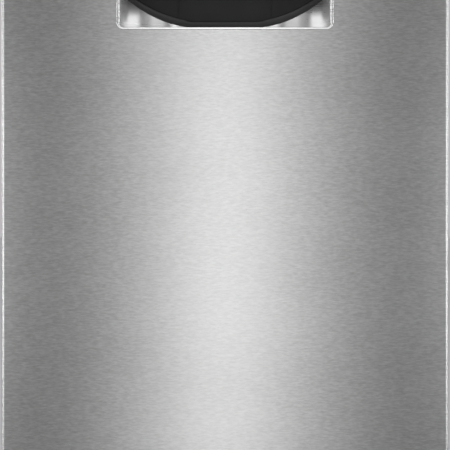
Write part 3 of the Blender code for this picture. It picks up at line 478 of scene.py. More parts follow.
def keep(node, key, bevel):
    """A CAD node whose shape is right: a better material, and softened edges."""
    obj = frame["nodes"][node]
    for i in range(len(obj.data.materials)):
        obj.data.materials[i] = M[key]
    step = obj.modifiers.new("edge", "BEVEL")
    step.width = bevel
    step.segments = 2
    step.limit_method = "ANGLE"
    step.angle_limit = math.radians(30)
    step.harden_normals = False


def screw(shape, axis, centre, at, out, radius=0.0035, slot=0):
    """A pan-head screw with a round recess in its head."""
    height = radius * 0.6 * out
    profile = [(0, at), (radius, at), (radius, at + height * 0.5), (radius * 0.8, at + height * 0.9),
               (radius * 0.42, at + height), (radius * 0.36, at + height * 0.45), (0, at + height * 0.4)]
    shape.lathe(profile, axis, centre, 24, slot)


def smoothstep(t):
    t = np.clip(t, 0.0, 1.0)
    return t * t * (3 - 2 * t)


def pad(u, v, low, high, soft):
    """1 inside a rectangle and 0 outside it, with a soft edge. Works on arrays."""
    return (smoothstep((u - low[0]) / soft) * smoothstep((high[0] - u) / soft)
            * smoothstep((v - low[1]) / soft) * smoothstep((high[1] - v) / soft))


# ------------------------------------------------------------------ door: front and handle
TRIM = (TRIM_LOW.x, TRIM_LOW.z), (TRIM_HIGH.x, TRIM_HIGH.z)
RIM = 0.0044                       # width of the rim's sides
LOW_RIM = 0.66                     # its lower and upper part are narrower: a share of that width
RIM_CORNER = 0.0095
INNER_X = TRIM_HIGH.x - RIM
INNER_Z = TRIM_LOW.z + RIM * LOW_RIM
FLAT = 0.04                        # half the straight part of the grip's lower edge
BEND = 0.113                       # radius of the arcs beside it
LIFT = 0.18                        # rise of that edge per depth: its deep part is looked at from below
EAR = 0.0475                       # x where the pocket's polished corners begin
FROM_RIM = (0, 7, 22, 28, 33, 40, 46, 58, 66, 80, 92, 95)                # mm, towards the middle
EAR_SLOPE = (0.5, 0.42, 0.37, 0.26, 0.19, 0.14, 0.06, 0.02, -0.12, -0.36, -0.5, -0.4)


def door_front():
    fold, corner, steps = 0.0042, 0.005, 8
    places = [(0.0, DOOR_HIGH.y)]
    for i in range(steps + 1):
        turn = math.radians(90 * i / steps)
        places.append((fold * (1 - math.cos(turn)), DOOR_FACE + fold * (1 - math.sin(turn))))
    low, high = (DOOR_LOW.x, DOOR_LOW.z), (DOOR_HIGH.x, DOOR_HIGH.z)
    rings = [[(u, y, v) for u, v in rounded(*inside(low, high, inset), max(corner - inset, 0.0008))]
             for inset, y in places]
    gap = 0.0003
    cuts = [Shape().prism(rounded(*inside(*TRIM, -gap), RIM_CORNER + gap, 10), "Y", -0.31, -0.29, bevel=0),
            Shape().box((-0.296, -0.2895, 0.84), (0.296, -0.26, 0.855), bevel=0),
            Shape().box((-0.296, -0.2895, 0.1), (0.296, -0.26, 0.113), bevel=0)]
    for sign in SIDES.values():
        cuts.append(Shape().box((sign * 0.296, -0.299, 0.1), (sign * 0.266, -0.26, 0.113), bevel=0))
    Shape().loft(rings, caps=(False, True)).piece(
        "door_skin", "door", "front", "door_outer_panel", "brushed_front", cuts, solid=0.0012)


def hollow(x, rise):
    """Depth of the pocket's polished corners behind the door's face, at x and that far above the rim. From the rim
    they turn to face the middle, then come forward again. They face down a little, and up near their top."""
    steps = np.linspace(0, FROM_RIM[-1], 400)
    slope = np.interp(steps, FROM_RIM, EAR_SLOPE)
    depth = np.concatenate([[0], np.cumsum((slope[1:] + slope[:-1]) / 2 * np.diff(steps))])
    inward = (INNER_X + 0.0008 - np.abs(x)) * 1000
    tilt = -0.1 * rise + 5.0 * np.maximum(rise - 0.014, 0) ** 2
    return 0.001 + np.interp(inward, steps, depth) / 1000 + tilt * smoothstep(inward / 14)


def smile(x):
    """Height of the grip's lower edge: flat in the middle, then an arc up to each side."""
    arch = np.maximum(0.0, np.abs(x) - FLAT) ** 2 / (2 * BEND)
    return INNER_Z + arch + LIFT * hollow(x, arch) * smoothstep((np.abs(x) - EAR + 0.0015) / 0.01)


def scoop(x, z):
    """Depth of the polished corners at (x, z)."""
    return hollow(x, np.maximum(z - INNER_Z, 0))


def handle_trim():
    """Bright rim round the whole pocket. Its sides and top have a groove, which fades out at the lower corners."""
    section = [(0.0, 0.0052), (0.0, 0.0009), (0.0002, 0.0003), (0.0005, 0.0), (0.0009, 0.0), (0.0012, 0.0),
               (0.0013, 0.0), (0.0025, 0.0), (0.0026, 0.0), (0.0029, 0.0), (0.0036, 0.0), (0.0041, 0.0005),
               (RIM, 0.0015), (RIM, 0.0052)]
    groove = {5: 0.0006, 6: 0.0026, 7: 0.0026, 8: 0.0006}      # its depth at some of the section's points
    rings = []
    for index, (inset, depth) in enumerate(section):
        outline = rounded(*inside(*TRIM, inset, inset * LOW_RIM), max(RIM_CORNER - inset, 0.002), 10)
        sunk = groove.get(index, 0.0)
        rings.append([(u, TRIM_LOW.y + depth + sunk * smoothstep((v - TRIM_LOW.z - 0.004) / 0.006), v)
                      for u, v in outline])
    Shape().loft(rings, closed=True).piece("handle_rim", "door", "rim", "pocket_trim", "polished_trim",
                                           smooth=50, weighted=False)
    for side, sign in SIDES.items():
        columns = []
        for x in np.linspace(EAR, INNER_X + 0.0006, 46):
            z = INNER_Z - 0.0006 + (smile(x) - INNER_Z + 0.0006) * np.linspace(0, 1, 24)
            z = np.concatenate([np.full(3, z[0] - 0.0002), z])
            depth = 0.0012 + scoop(x, z)
            depth[:3] = np.linspace(0.0036, max(depth[3] - 0.0002, 0.0037), 3)
            columns.append(np.stack([np.full_like(z, sign * x), DOOR_FACE + depth, z], axis=1))
        grid = np.array(columns)
        back = grid.copy()
        back[..., 1] += 0.0016
        Shape().slab(grid, back).piece(f"handle_corner_{side}", "door", "satin", slot="polished_trim", smooth=60,
                                       weighted=False)


def grip():
    """Black grip: a scooped lip along the smile, then the deeper core of the pocket. The lip is painted lighter and
    the core darker: painted light and painted shade on one plastic.
    """
    lip, full, step = 0.0122, 0.029, 0.0048      # the lip's height, its depth, and the core behind it
    bottom, top = 0.7552, 0.8215

    def surface(x, z):
        away = z - smile(x)
        edge = scoop(x, smile(x)) + 0.0008
        rise = np.clip((away + 0.0004) / (lip + 0.004), 0, 1)
        depth = edge + (full - edge) * np.sqrt(1 - (1 - rise) ** 2)
        depth = np.where(away < 0, edge + 0.0012, depth)
        return DOOR_FACE + 0.001 + depth + smoothstep((away - lip) / 0.0012) * step

    columns = []
    for x in np.linspace(-0.1462, 0.1462, 150):
        extra = smile(x) + np.array([-0.0004, 0.0, 0.0006, 0.0014, lip, lip + 0.0012])
        z = np.clip(np.sort(np.concatenate([np.linspace(bottom, top, 74), extra])), bottom, top)
        columns.append(np.stack([np.full_like(z, x), surface(x, z), z], axis=1))
    front = np.array(columns)
    back = front.copy()
    back[..., 1] = np.maximum(front[..., 1] + 0.0012, DOOR_FACE + 0.03)
    made = Shape().slab(front, back).piece("grip_inside", "door", ["grip", "core"], slot="black_plastic", smooth=40,
                                           weighted=False)
    # faces deeper than the lip take the darker black: painted shade in the pocket's depth
    for face in made.data.polygons:
        c = face.center
        face.material_index = 1 if c.z - float(smile(c.x)) > lip + 0.0002 else 0
    low, high = (-0.1485, 0.7525), (0.1485, 0.824)
    rings = [[(u, y, v) for u, v in rounded(*inside(low, high, inset), corner)]
             for y, inset, corner in ((-0.2998, 0.0, 0.012), (-0.264, 0.0, 0.012), (-0.2592, 0.006, 0.008))]
    Shape().loft(rings, caps=(False, True)).piece("grip_cup_shell", "door", "black", "grip_cup", "black_plastic",
                                                  solid=0.0018)
    ribs = Shape()
    for x in (-0.0632, 0.0632):
        ribs.box((x - 0.0006, DOOR_FACE + 0.034, 0.7735), (x + 0.0006, DOOR_FACE + 0.0362, 0.821), bevel=0.0003)
    # the ribs deep in the pocket take the darker black too: painted shade
    ribs.piece("grip_ribs", "door", "core", slot="black_plastic")


# ------------------------------------------------------------------ pressed sheet
def lines(low, high, step, *ramps):
    """Places from low to high: about step apart, and closer together across each ramp (start, length)."""
    marks = list(np.linspace(low, high, max(2, round((high - low) / step) + 1)))
    for start, length in ramps:
        marks += [start + length * k / 4 for k in range(5)]
    kept = [low]
    for mark in sorted(marks):
        if kept[-1] + 0.0008 < mark < high - 0.0008:
            kept.append(mark)
    return kept + [high]


def ramps(pads, index):
    """The soft edges of pads (low, high, depth, soft) along their first or second direction."""
    found = []
    for low, high, _, soft in pads:
        found += [(low[index], soft), (high[index] - soft, soft)]
    return found


def pressed(pads):
    """Depth of the pads at (u, v)."""
    return lambda u, v: sum(depth * pad(u, v, low, high, soft) for low, high, depth, soft in pads)


def round_corner(u, v, low, high, radii):
    """A rectangle's point, moved so that the rectangle's corners come out round, and the way out there."""
    places = ((low[0], low[1], -1, -1), (high[0], low[1], 1, -1), (high[0], high[1], 1, 1), (low[0], high[1], -1, 1))
    for (cu, cv, su, sv), r in zip(places, radii):
        a, b = su * (u - cu) + r, sv * (v - cv) + r
        if a > 1e-9 and b > 1e-9:
            turn = math.pi / 4 * (b / a if a >= b else 2 - a / b)
            out = (su * math.cos(turn), sv * math.sin(turn))
            return cu - su * r + max(a, b) * out[0], cv - sv * r + max(a, b) * out[1], out
    out = (int(u >= high[0]) - int(u <= low[0]), int(v >= high[1]) - int(v <= low[1]))
    return u, v, out


def pan(us, vs, radii, height, rings, facing, wall=None, flange=None):
    """A pressed pan: a face over us x vs at height(u, v), then rings (outset, y) round it. It faces -Y or +Y.

    wall(out, u, v, w) pushes a ring's straight sides outwards. flange is a last rectangle (low, high, w).
    """
    place = PLACES["Y"]
    low, high = (us[0], vs[0]), (us[-1], vs[-1])
    verts, ids = [], {}
    for i, u in enumerate(us):
        for j, v in enumerate(vs):
            a, b, _ = round_corner(u, v, low, high, radii)
            ids[i, j] = len(verts)
            verts.append(place(a, b, height(a, b)))
    last_i, last_j = len(us) - 1, len(vs) - 1
    faces = [(ids[i, j], ids[i + 1, j], ids[i + 1, j + 1], ids[i, j + 1])
             for i in range(last_i) for j in range(last_j)]
    loop = [(i, 0) for i in range(last_i)] + [(last_i, j) for j in range(last_j)]
    loop += [(i, last_j) for i in range(last_i, 0, -1)] + [(0, j) for j in range(last_j, 0, -1)]
    row = [ids[k] for k in loop]
    border = [(us[i], vs[j], *round_corner(us[i], vs[j], low, high, radii)) for i, j in loop]

    def join(row, points):
        made = list(range(len(verts), len(verts) + len(points)))
        verts.extend(points)
        for k in range(len(row)):
            n = (k + 1) % len(row)
            faces.append((row[n], row[k], made[k], made[n]))
        return made

    for outset, w in rings:
        points = []
        for _, _, u, v, out in border:
            push = outset + (wall(out, u, v, w) if wall else 0.0)
            points.append(place(u + out[0] * push, v + out[1] * push, w))
        row = join(row, points)
    if flange:
        (u0, v0), (u1, v1), w = flange
        wide, tall = (u1 - u0) / (high[0] - low[0]), (v1 - v0) / (high[1] - low[1])
        join(row, [place(u0 + (u - low[0]) * wide, v0 + (v - low[1]) * tall, w) for u, v, *_ in border])
    if facing > 0:
        faces = [f[::-1] for f in faces]
    return Shape().add(verts, faces)


def sweep(path, section, closed=False):
    """A section of (sideways, y) carried along a path of (x, z)."""
    path = [np.array(p, float) for p in path]
    count = len(path)
    rings = []
    for i, p in enumerate(path):
        before = path[i - 1] if closed or i else p
        after = path[(i + 1) % count] if closed or i < count - 1 else p
        step = (after - before) / np.linalg.norm(after - before)
        side = np.array([step[1], -step[0]])
        rings.append([PLACES["Y"](*(p + side * s), w) for s, w in section])
    return Shape().loft(rings, closed=closed)


# ------------------------------------------------------------------ tub and casing
TUB_HALF, TUB_LOW, TUB_TOP, TUB_BACK = 0.268, 0.165, 0.818, 0.262
MOUTH = -0.2435
SUMP = (0.02, 0.005)               # x and y of the sump, of the arm's hub in it and of the fine filter's well
HUB = (0.0, 0.005)
WELL = (0.062, 0.005)
VALVE = (-0.232, 0.072)            # x and z of the three connections in the rear panel
DRAIN = (0.15, 0.09)
MAINS = (0.23, 0.06)
REAR_END = 0.3018                  # y where they end, just inside the machine's depth
PUMP = (HUB[1], 0.11)              # y and z of the wash pump's axis


def tub_shell():
    """Pressed steel tub: panels in its walls, a flange round its mouth, and the hole for the sump."""
    fold, roll = 0.005, 0.003
    back = [((-0.225, 0.215), (-0.035, 0.56), 0.003, 0.006), ((0.035, 0.215), (0.225, 0.56), 0.003, 0.006),
            ((-0.225, 0.64), (0.225, 0.765), 0.003, 0.006)]
    sides = [((0.215, -0.195), (0.575, 0.225), 0.003, 0.006), ((0.65, -0.195), (0.745, 0.225), 0.003, 0.006)]
    top = [((-0.215, -0.18), (0.215, 0.215), 0.003, 0.008)]
    floor = [((-0.238, -0.2), (0.238, 0.235), 0.0012, 0.01)]
    corners = (0.001, 0.001, 0.019, 0.019)
    us = lines(-TUB_HALF + fold, TUB_HALF - fold, 0.03, *ramps(back + top + floor, 0), (-0.263, 0.019),
               (0.244, 0.019))
    vs = lines(TUB_LOW + fold, TUB_TOP - fold, 0.03, *ramps(back, 1), *ramps(sides, 0), (0.794, 0.019))
    ys = lines(MOUTH + roll, TUB_BACK - fold, 0.03, *ramps(sides + top + floor, 1))
    rings = quarter(fold, TUB_BACK) + [(fold, y) for y in reversed(ys[:-1])]
    for k in range(1, 4):
        turn = math.radians(90 * k / 3)
        rings.append((fold + roll * (1 - math.cos(turn)), MOUTH + roll - roll * math.sin(turn)))
    at_side, at_top, at_floor = pressed(sides), pressed(top), pressed(floor)

    def wall(out, u, v, y):
        if out[1] == 0:
            return float(at_side(v, y))
        if out == (0, 1):
            return float(at_top(u, y))
        if out == (0, -1):
            from_sump = math.hypot(u - SUMP[0], y - SUMP[1])
            return float(at_floor(u, y) * smoothstep((from_sump - 0.122) / 0.012))
        return 0.0

    at_back = pressed(back)
    shape = pan(us, vs, corners, lambda u, v: TUB_BACK + float(at_back(u, v)), rings, -1, wall,
                ((-0.294, 0.149), (0.294, 0.8425), MOUTH))
    cuts = [Shape().disc("Z", SUMP, 0.106, 0.15, 0.18, 96),
            Shape().box((-0.02, -0.25, 0.8298), (0.02, -0.235, 0.84), bevel=0)]
    for sign in SIDES.values():
        cuts.append(Shape().box((sign * 0.2805, -0.25, 0.14), (sign * 0.2888, -0.235, 0.192), bevel=0))
    shape.piece("tub_shell", "cabinet", "tub", ("tub", "tub_floor"), "tub_steel", cuts, smooth=40, solid=0.001)
    mats = Shape()
    mats.box((-0.25, -0.185, 0.8224), (0.25, 0.245, 0.8262), bevel=0.0012)
    mats.box((-0.205, 0.2668, 0.235), (0.205, 0.2705, 0.6), bevel=0.0012)
    for sign in SIDES.values():
        mats.box((sign * 0.2724, -0.17, 0.235), (sign * 0.2758, 0.205, 0.745), bevel=0.0012)
    mats.piece("damping_mats", "cabinet", "mat", slot="seal_rubber")


def gasket():
    """Rubber seal with a hollow-looking bulb and a lip, on three sides of the tub's mouth."""
    half, foot, top, corner = 0.275, 0.166, 0.82475, 0.0185
    path = [(-half, foot), (-half, 0.4), (-half, 0.7)]
    path += arc((-half + corner, top - corner), corner, 180, 90, 10)
    path += [(-0.1, top), (0.1, top)]
    path += arc((half - corner, top - corner), corner, 90, 0, 10)
    path += [(half, 0.7), (half, 0.4), (half, foot)]
    section = [(-0.0045, -0.2438), (0.0045, -0.2438), (0.0045, -0.245), (0.0036, -0.2458), (0.0042, -0.2475),
               (0.0034, -0.249), (0.0018, -0.2497), (0.0, -0.2493), (-0.0014, -0.2488), (-0.003, -0.2492),
               (-0.004, -0.2484), (-0.0038, -0.2462), (-0.0045, -0.245)]
    sweep(path, section).piece("tub_seal", "cabinet", "rubber", "tub_gasket", "seal_rubber", smooth=50)


def side_panels():
    for side, sign in SIDES.items():
        pads = [((-0.19, 0.165), (0.27, 0.42), 0.002, 0.012), ((-0.19, 0.455), (0.27, 0.81), 0.002, 0.012)]
        ys, zs = lines(-0.2422, 0.3007, 0.06, *ramps(pads, 0)), lines(0.03, 0.8445, 0.06, *ramps(pads, 1))
        y, z = np.meshgrid(ys, zs, indexing="ij")
        depth = pressed(pads)(y, z)
        outer = np.stack([sign * (0.297 - depth), y, z], axis=2)
        inner = outer - np.array([sign * 0.0012, 0, 0])
        shape = Shape().slab(outer, inner)
        shape.box((sign * 0.276, -0.24, 0.3003), (sign * 0.2962, -0.22, 0.3028), bevel=0.0004)
        shape.box((sign * 0.286, -0.239, 0.8433), (sign * 0.2962, 0.299, 0.8445), bevel=0.0003)
        for y0 in (-0.2385, -0.2225):
            shape.loft([[(sign * 0.2962, y, 0.3028), (sign * 0.28, y, 0.3028), (sign * 0.2962, y, 0.318)]
                        for y in (y0, y0 + 0.0012)])
        for y0 in (0.02, 0.16, 0.28):
            screw(shape, "Z", (sign * 0.2905, y0), 0.8445, 1, 0.0036, 1)
        shape.piece(f"side_sheet_{side}", "cabinet", ["zinc", "screw"], f"side_panel_{side}", "galvanised")


def rear_sheet():
    """Rear frame with stiffening pressings, a turned-in window edge and sunk screws."""
    pads = [((-0.286, 0.23), (-0.248, 0.78), 0.0014, 0.005), ((0.248, 0.23), (0.286, 0.78), 0.0014, 0.005),
            ((-0.215, 0.8), (0.215, 0.832), 0.0014, 0.005), ((-0.215, 0.16), (0.215, 0.2), 0.0014, 0.005)]
    spots = [(sign * 0.288, z) for sign in SIDES.values() for z in (0.165, 0.205, 0.805, 0.835)]
    sunk = [((u - 0.007, v - 0.007), (u + 0.007, v + 0.007), 0.0024, 0.003) for u, v in spots]
    xs = lines(-0.297, 0.297, 0.06, *ramps(pads + sunk, 0))
    zs = lines(0.03, 0.8445, 0.06, *ramps(pads + sunk, 1))
    x, z = np.meshgrid(xs, zs, indexing="ij")
    back = np.stack([x, 0.3022 - pressed(pads + sunk)(x, z), z], axis=2)
    front = back - np.array([0, 0.0012, 0])
    window = rounded((-0.235, 0.215), (0.235, 0.79), 0.02, 8)
    cuts = [Shape().prism(window, "Y", 0.29, 0.31, bevel=0)]
    for centre, radius in ((VALVE, 0.0125), (DRAIN, 0.0135), (MAINS, 0.0095)):
        cuts.append(Shape().disc("Y", centre, radius, 0.29, 0.31, 32))
    Shape().slab(back, front).piece("rear_sheet", "cabinet", "zinc", "rear_panel", "galvanised", cuts)
    edge = sweep(window, [(0.0, 0.3014), (0.0012, 0.3014), (0.0012, 0.295), (0.0, 0.295)], closed=True)
    for u, v in spots:
        screw(edge, "Y", (u, v), 0.2998, 1, 0.0032, 1)
    edge.piece("rear_window_edge", "cabinet", ["zinc", "screw"], slot="galvanised")


def casing():
    keep("top_crossmember", "zinc", 0.0003)
    keep("base_tray", "base", 0.0008)
    keep("toe_kick", "black", 0.0003)
    keep("door_latch", "black", 0.0006)
    details = Shape()
    for sign in SIDES.values():
        for x, y in ((0.18, -0.172), (0.262, -0.172), (0.262, -0.218), (0.12, -0.195)):
            screw(details, "Z", (sign * x, y), 0.8463, 1)
        for z in (0.084, 0.036):
            screw(details, "Y", (sign * 0.225, z), -0.213, -1, 0.0038)
        screw(details, "X", (-0.222, 0.118), sign * 0.2764, sign, 0.0036)
    for x in (-0.024, 0.024):
        screw(details, "Y", (x, 0.835), -0.2422, -1, 0.0022)
    details.piece("casing_screws", "cabinet", "screw", slot="galvanised", smooth=40)
    ribs = Shape()
    for x in np.linspace(-0.24, 0.24, 9):
        ribs.box((x - 0.001, -0.2, 0.0308), (x + 0.001, 0.296, 0.0332), bevel=0.0003)
    for y in np.linspace(-0.16, 0.26, 8):
        ribs.box((-0.291, y - 0.001, 0.0308), (0.291, y + 0.001, 0.033), bevel=0.0003)
    ribs.piece("base_ribs", "cabinet", "base", slot="base_plastic")
    for side, sign in SIDES.items():
        spring(side, sign)
        keep(f"hinge_bracket_{side}", "zinc", 0.0004)
        for rail in ("upper_rail", "tray_rail"):
            keep(f"{rail}_{side}", "tub", 0.0003)
    for place in ("front_left", "front_right", "rear_left", "rear_right"):
        foot(place)


def spring(side, sign):
    """Counterbalance spring with closed ends, made at one length; on the machine it shortens as the door opens."""
    turns, steps, wire, radius = 26, 16, 0.0012, 0.0062
    low, high = 0.0943 + wire, 0.2998 - wire
    points = []
    for i in range(turns * steps + 1):
        t = i / (turns * steps)
        rise = np.interp(t, [0, 0.035, 0.965, 1], [0, 0.011, 0.989, 1])
        turn = 2 * math.pi * i / steps
        points.append((sign * 0.2845 + radius * math.cos(turn), -0.2315 + sign * radius * math.sin(turn),
                       low + (high - low) * rise))
    made = Shape().tube(points, wire, 8).piece(f"counter_spring_{side}", "cabinet", "spring", f"door_spring_{side}",
                                               "spring_steel", smooth=60, weighted=False)
    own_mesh(made)


def foot(place):
    """Levelling foot: a ribbed pad with a threaded stem."""
    low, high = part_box(f"leveling_foot_{place}")
    centre = ((low.x + high.x) / 2, (low.y + high.y) / 2)
    profile = [(0, 0.0), (0.0205, 0.0), (0.022, 0.0012), (0.022, 0.0038), (0.0208, 0.0048), (0.015, 0.0072),
               (0.0132, 0.0092), (0.0074, 0.0104)]
    profile += ridges(0.0112, 0.062, 0.002, ((0.0052, 0), (0.006, 0.0006), (0.006, 0.0009), (0.0052, 0.0015)))
    profile += [(0.005, 0.0636), (0.0042, 0.064), (0, 0.064)]
    shape = Shape().lathe(profile, "Z", centre, 40)
    for stud in around(centre, 0.0182, 6):
        shape.rod("Z", stud, 0.0016, 0.0042, 0.0068, 12)
    shape.piece(f"foot_{place}", f"leveling_foot_{place}", "black", f"leveling_foot_{place}", "black_plastic",
                smooth=35)


# ------------------------------------------------------------------ wash system
def sump_and_filters():
    bowl = [(0, 0.066), (0.074, 0.066), (0.079, 0.0672), (0.0978, 0.089), (0.0985, 0.0915), (0.0985, 0.1585),
            (0.1, 0.16), (0.115, 0.1602), (0.116, 0.161), (0.116, 0.1626), (0.115, 0.1632),
            (0.0965, 0.1632), (0.095, 0.1618), (0.095, 0.0925), (0.076, 0.0692), (0, 0.069)]
    port = Shape().disc("X", PUMP, 0.014, -0.09, -0.068, 40)
    Shape().lathe(bowl, "Z", SUMP, 96).piece("sump_bowl", "cabinet", "grey", "sump", "grey_plastic", [port],
                                             smooth=40)
    hub = Shape()
    hub.lathe([(0, 0.0682), (0.016, 0.0682), (0.016, 0.1755), (0.015, 0.1765), (0.007, 0.1765), (0.006, 0.1775),
               (0.006, 0.1965), (0.005, 0.1975), (0, 0.1975)], "Z", HUB, 40)
    for k in range(20):
        turn = math.radians(18 * k + 9)
        if abs(math.sin(turn)) < 0.3:
            continue
        out = (math.cos(turn), math.sin(turn))
        (a, b), (d, c) = [[(SUMP[0] + out[0] * r - s * out[1], SUMP[1] + out[1] * r + s * out[0])
                           for r in (0.098, 0.11)] for s in (-0.0012, 0.0012)]
        hub.loft([[(*a, 0.115), (*a, 0.117), (*d, 0.117), (*d, 0.115)], [(*p, 0.1598) for p in (a, b, c, d)]])
    hub.piece("sump_hub", "cabinet", "grey", slot="grey_plastic", smooth=40)

    plate = [(0, 0.1636), (0.1045, 0.1636), (0.105, 0.1641), (0.105, 0.1651), (0.1045, 0.1656), (0.0985, 0.1656),
             (0.0968, 0.1648), (0, 0.1648)]
    holes = ((0.0175, HUB), (0.034, WELL))
    cuts = [Shape().disc("Z", c, r, 0.16, 0.17) for r, c in holes]
    made = Shape().lathe(plate, "Z", SUMP, 96).piece("filter_plate", "cabinet", ["tub", "mesh"], "coarse_filter",
                                                     "tub_steel", cuts, smooth=40)
    for face in made.data.polygons:
        away = math.hypot(face.center.x - SUMP[0], face.center.y - SUMP[1])
        flat = abs(face.normal.z) > 0.9 and face.center.z < 0.1649
        face.material_index = 1 if flat and away < 0.0965 else 0
    rings = Shape()
    for r, c in holes:
        rings.lathe([(r, 0.164), (r + 0.0035, 0.164), (r + 0.0035, 0.1652), (r + 0.0028, 0.1658),
                     (r + 0.0006, 0.1658), (r, 0.1653)], "Z", c, 64)
    rings.piece("filter_collars", "cabinet", "tub", slot="tub_steel", smooth=45)

    cage = Shape()
    for z0, z1, deep in ((0.0852, 0.0885, 0.0315), (0.113, 0.115, 0.0022), (0.14, 0.142, 0.0022),
                         (0.166, 0.176, 0.002)):
        inner = max(0.0325 - deep, 0.001)
        cage.lathe([(inner, z0), (0.032, z0), (0.0325, z0 + 0.0005), (0.0325, z1 - 0.0005), (0.032, z1),
                    (inner, z1)], "Z", WELL)
    for bar in around(WELL, 0.0313, 8, 22.5):
        cage.rod("Z", bar, 0.0011, 0.086, 0.169, 10)
    cage.prism(rounded(*inside(WELL, WELL, -0.0312, -0.003), 0.0008, 2), "Z", 0.16, 0.175, bevel=0.0008)
    cage.rod("Z", WELL, 0.0075, 0.159, 0.1752, 32)
    cage.piece("filter_cage", "fine_filter", "grey", "fine_filter", "grey_plastic", smooth=40)
    Shape().ring("Z", WELL, 0.0304, 0.0309, 0.0868, 0.17, 64).piece("filter_sleeve", "fine_filter", "mesh",
                                                                       slot="tub_steel")


def pumps():
    profile = [(0, -0.126), (0.044, -0.126), (0.044, -0.102), (0.014, -0.1005), (0.013, -0.0995), (0.013, -0.0785),
               (0.0175, -0.0785), (0.018, -0.079), (0.018, -0.0975), (0.019, -0.0985), (0.0465, -0.0995),
               (0.048, -0.101), (0.048, -0.131), (0.047, -0.1322), (0.0405, -0.1358), (0.04, -0.1365)]
    profile += ridges(-0.14, -0.218, -0.0078,
                      ((0.04, 0), (0.038, -0.0008), (0.038, -0.003), (0.04, -0.0038)))
    profile += [(0.04, -0.224), (0.0385, -0.2268), (0.034, -0.23), (0.02, -0.23), (0.019, -0.2285),
                (0.008, -0.2285), (0.007, -0.23), (0, -0.23)]
    Shape().lathe(profile, "X", PUMP, 72).piece("wash_pump", "cabinet", "grey", "circulation_pump", "grey_plastic",
                                                smooth=35)
    room = Shape().disc("X", PUMP, 0.0441, -0.127, -0.101, 72)
    Shape().lathe([(0, 0.11), (0.012, 0.11), (0.012, 0.153), (0.0128, 0.1536), (0.0128, 0.156),
                   (0.012, 0.1566), (0.012, 0.162), (0, 0.162)], "Z", (-0.113, HUB[1] + 0.034), 40).piece(
        "wash_pump_outlet", "cabinet", "grey", slot="grey_plastic", cutters=[room], smooth=40)
    straps = Shape()
    for x0 in (-0.106, -0.129):
        straps.ring("X", PUMP, 0.0478, 0.0486, x0 - 0.003, x0 + 0.003, 72)
    straps.piece("wash_pump_clamps", "cabinet", "screw", slot="galvanised", smooth=40)

    wheel = Shape()
    wheel.lathe([(0, -0.1225), (0.0376, -0.1225), (0.038, -0.1221), (0.038, -0.12), (0.0376, -0.1196),
                 (0.0115, -0.119), (0.008, -0.11), (0.0065, -0.1064), (0.005, -0.106), (0, -0.106)], "X", PUMP)
    for k in range(6):
        inner, outer = [], []
        for t in np.linspace(0, 1, 9):
            turn = math.radians(60 * k + 48 * t)
            r = 0.0062 + 0.0305 * t
            for line, thick in ((inner, -0.0009), (outer, 0.0009)):
                line.append((PUMP[0] + r * math.cos(turn) - thick * math.sin(turn),
                             PUMP[1] + r * math.sin(turn) + thick * math.cos(turn)))
        wheel.prism(inner + outer[::-1], "X", -0.1198, -0.1085, bevel=0.0003)
    wheel.piece("pump_wheel", "impeller", "light", "circulation_impeller", "light_plastic", smooth=40)

    drain = Shape()
    drain.lathe([(0, 0.1185), (0.0255, 0.1185), (0.0262, 0.1192), (0.028, 0.124), (0.028, 0.129),
                 (0.0272, 0.1294), (0.0272, 0.1306), (0.028, 0.131), (0.028, 0.1455), (0.0274, 0.1462),
                 (0.0215, 0.15), (0.021, 0.151), (0.021, 0.154), (0.0196, 0.1546), (0.0196, 0.188),
                 (0.021, 0.1886), (0.021, 0.195), (0.02, 0.196), (0.009, 0.196), (0.0085, 0.1945),
                 (0, 0.1945)], "X", (SUMP[1], DRAIN[1]), 56)
    barbs = [(0, 0.013), (0.0105, 0.013), (0.0105, 0.27)]
    for y in (0.27, 0.279, 0.288):
        barbs += [(0.0115, y + 0.0008), (0.0102, y + 0.0072)]
    barbs += [(0.0102, 0.3008), (0.0096, REAR_END), (0.008, REAR_END), (0.008, 0.28), (0, 0.28)]
    drain.lathe(barbs, "Y", DRAIN, 40)
    for y in spaced(0.045, 0.045, 5):
        drain.ring("Y", DRAIN, 0.01, 0.0115, y, y + 0.0024, 40)
    drain.piece("waste_pump", "cabinet", "grey", "drain_pump", "grey_plastic", smooth=40)


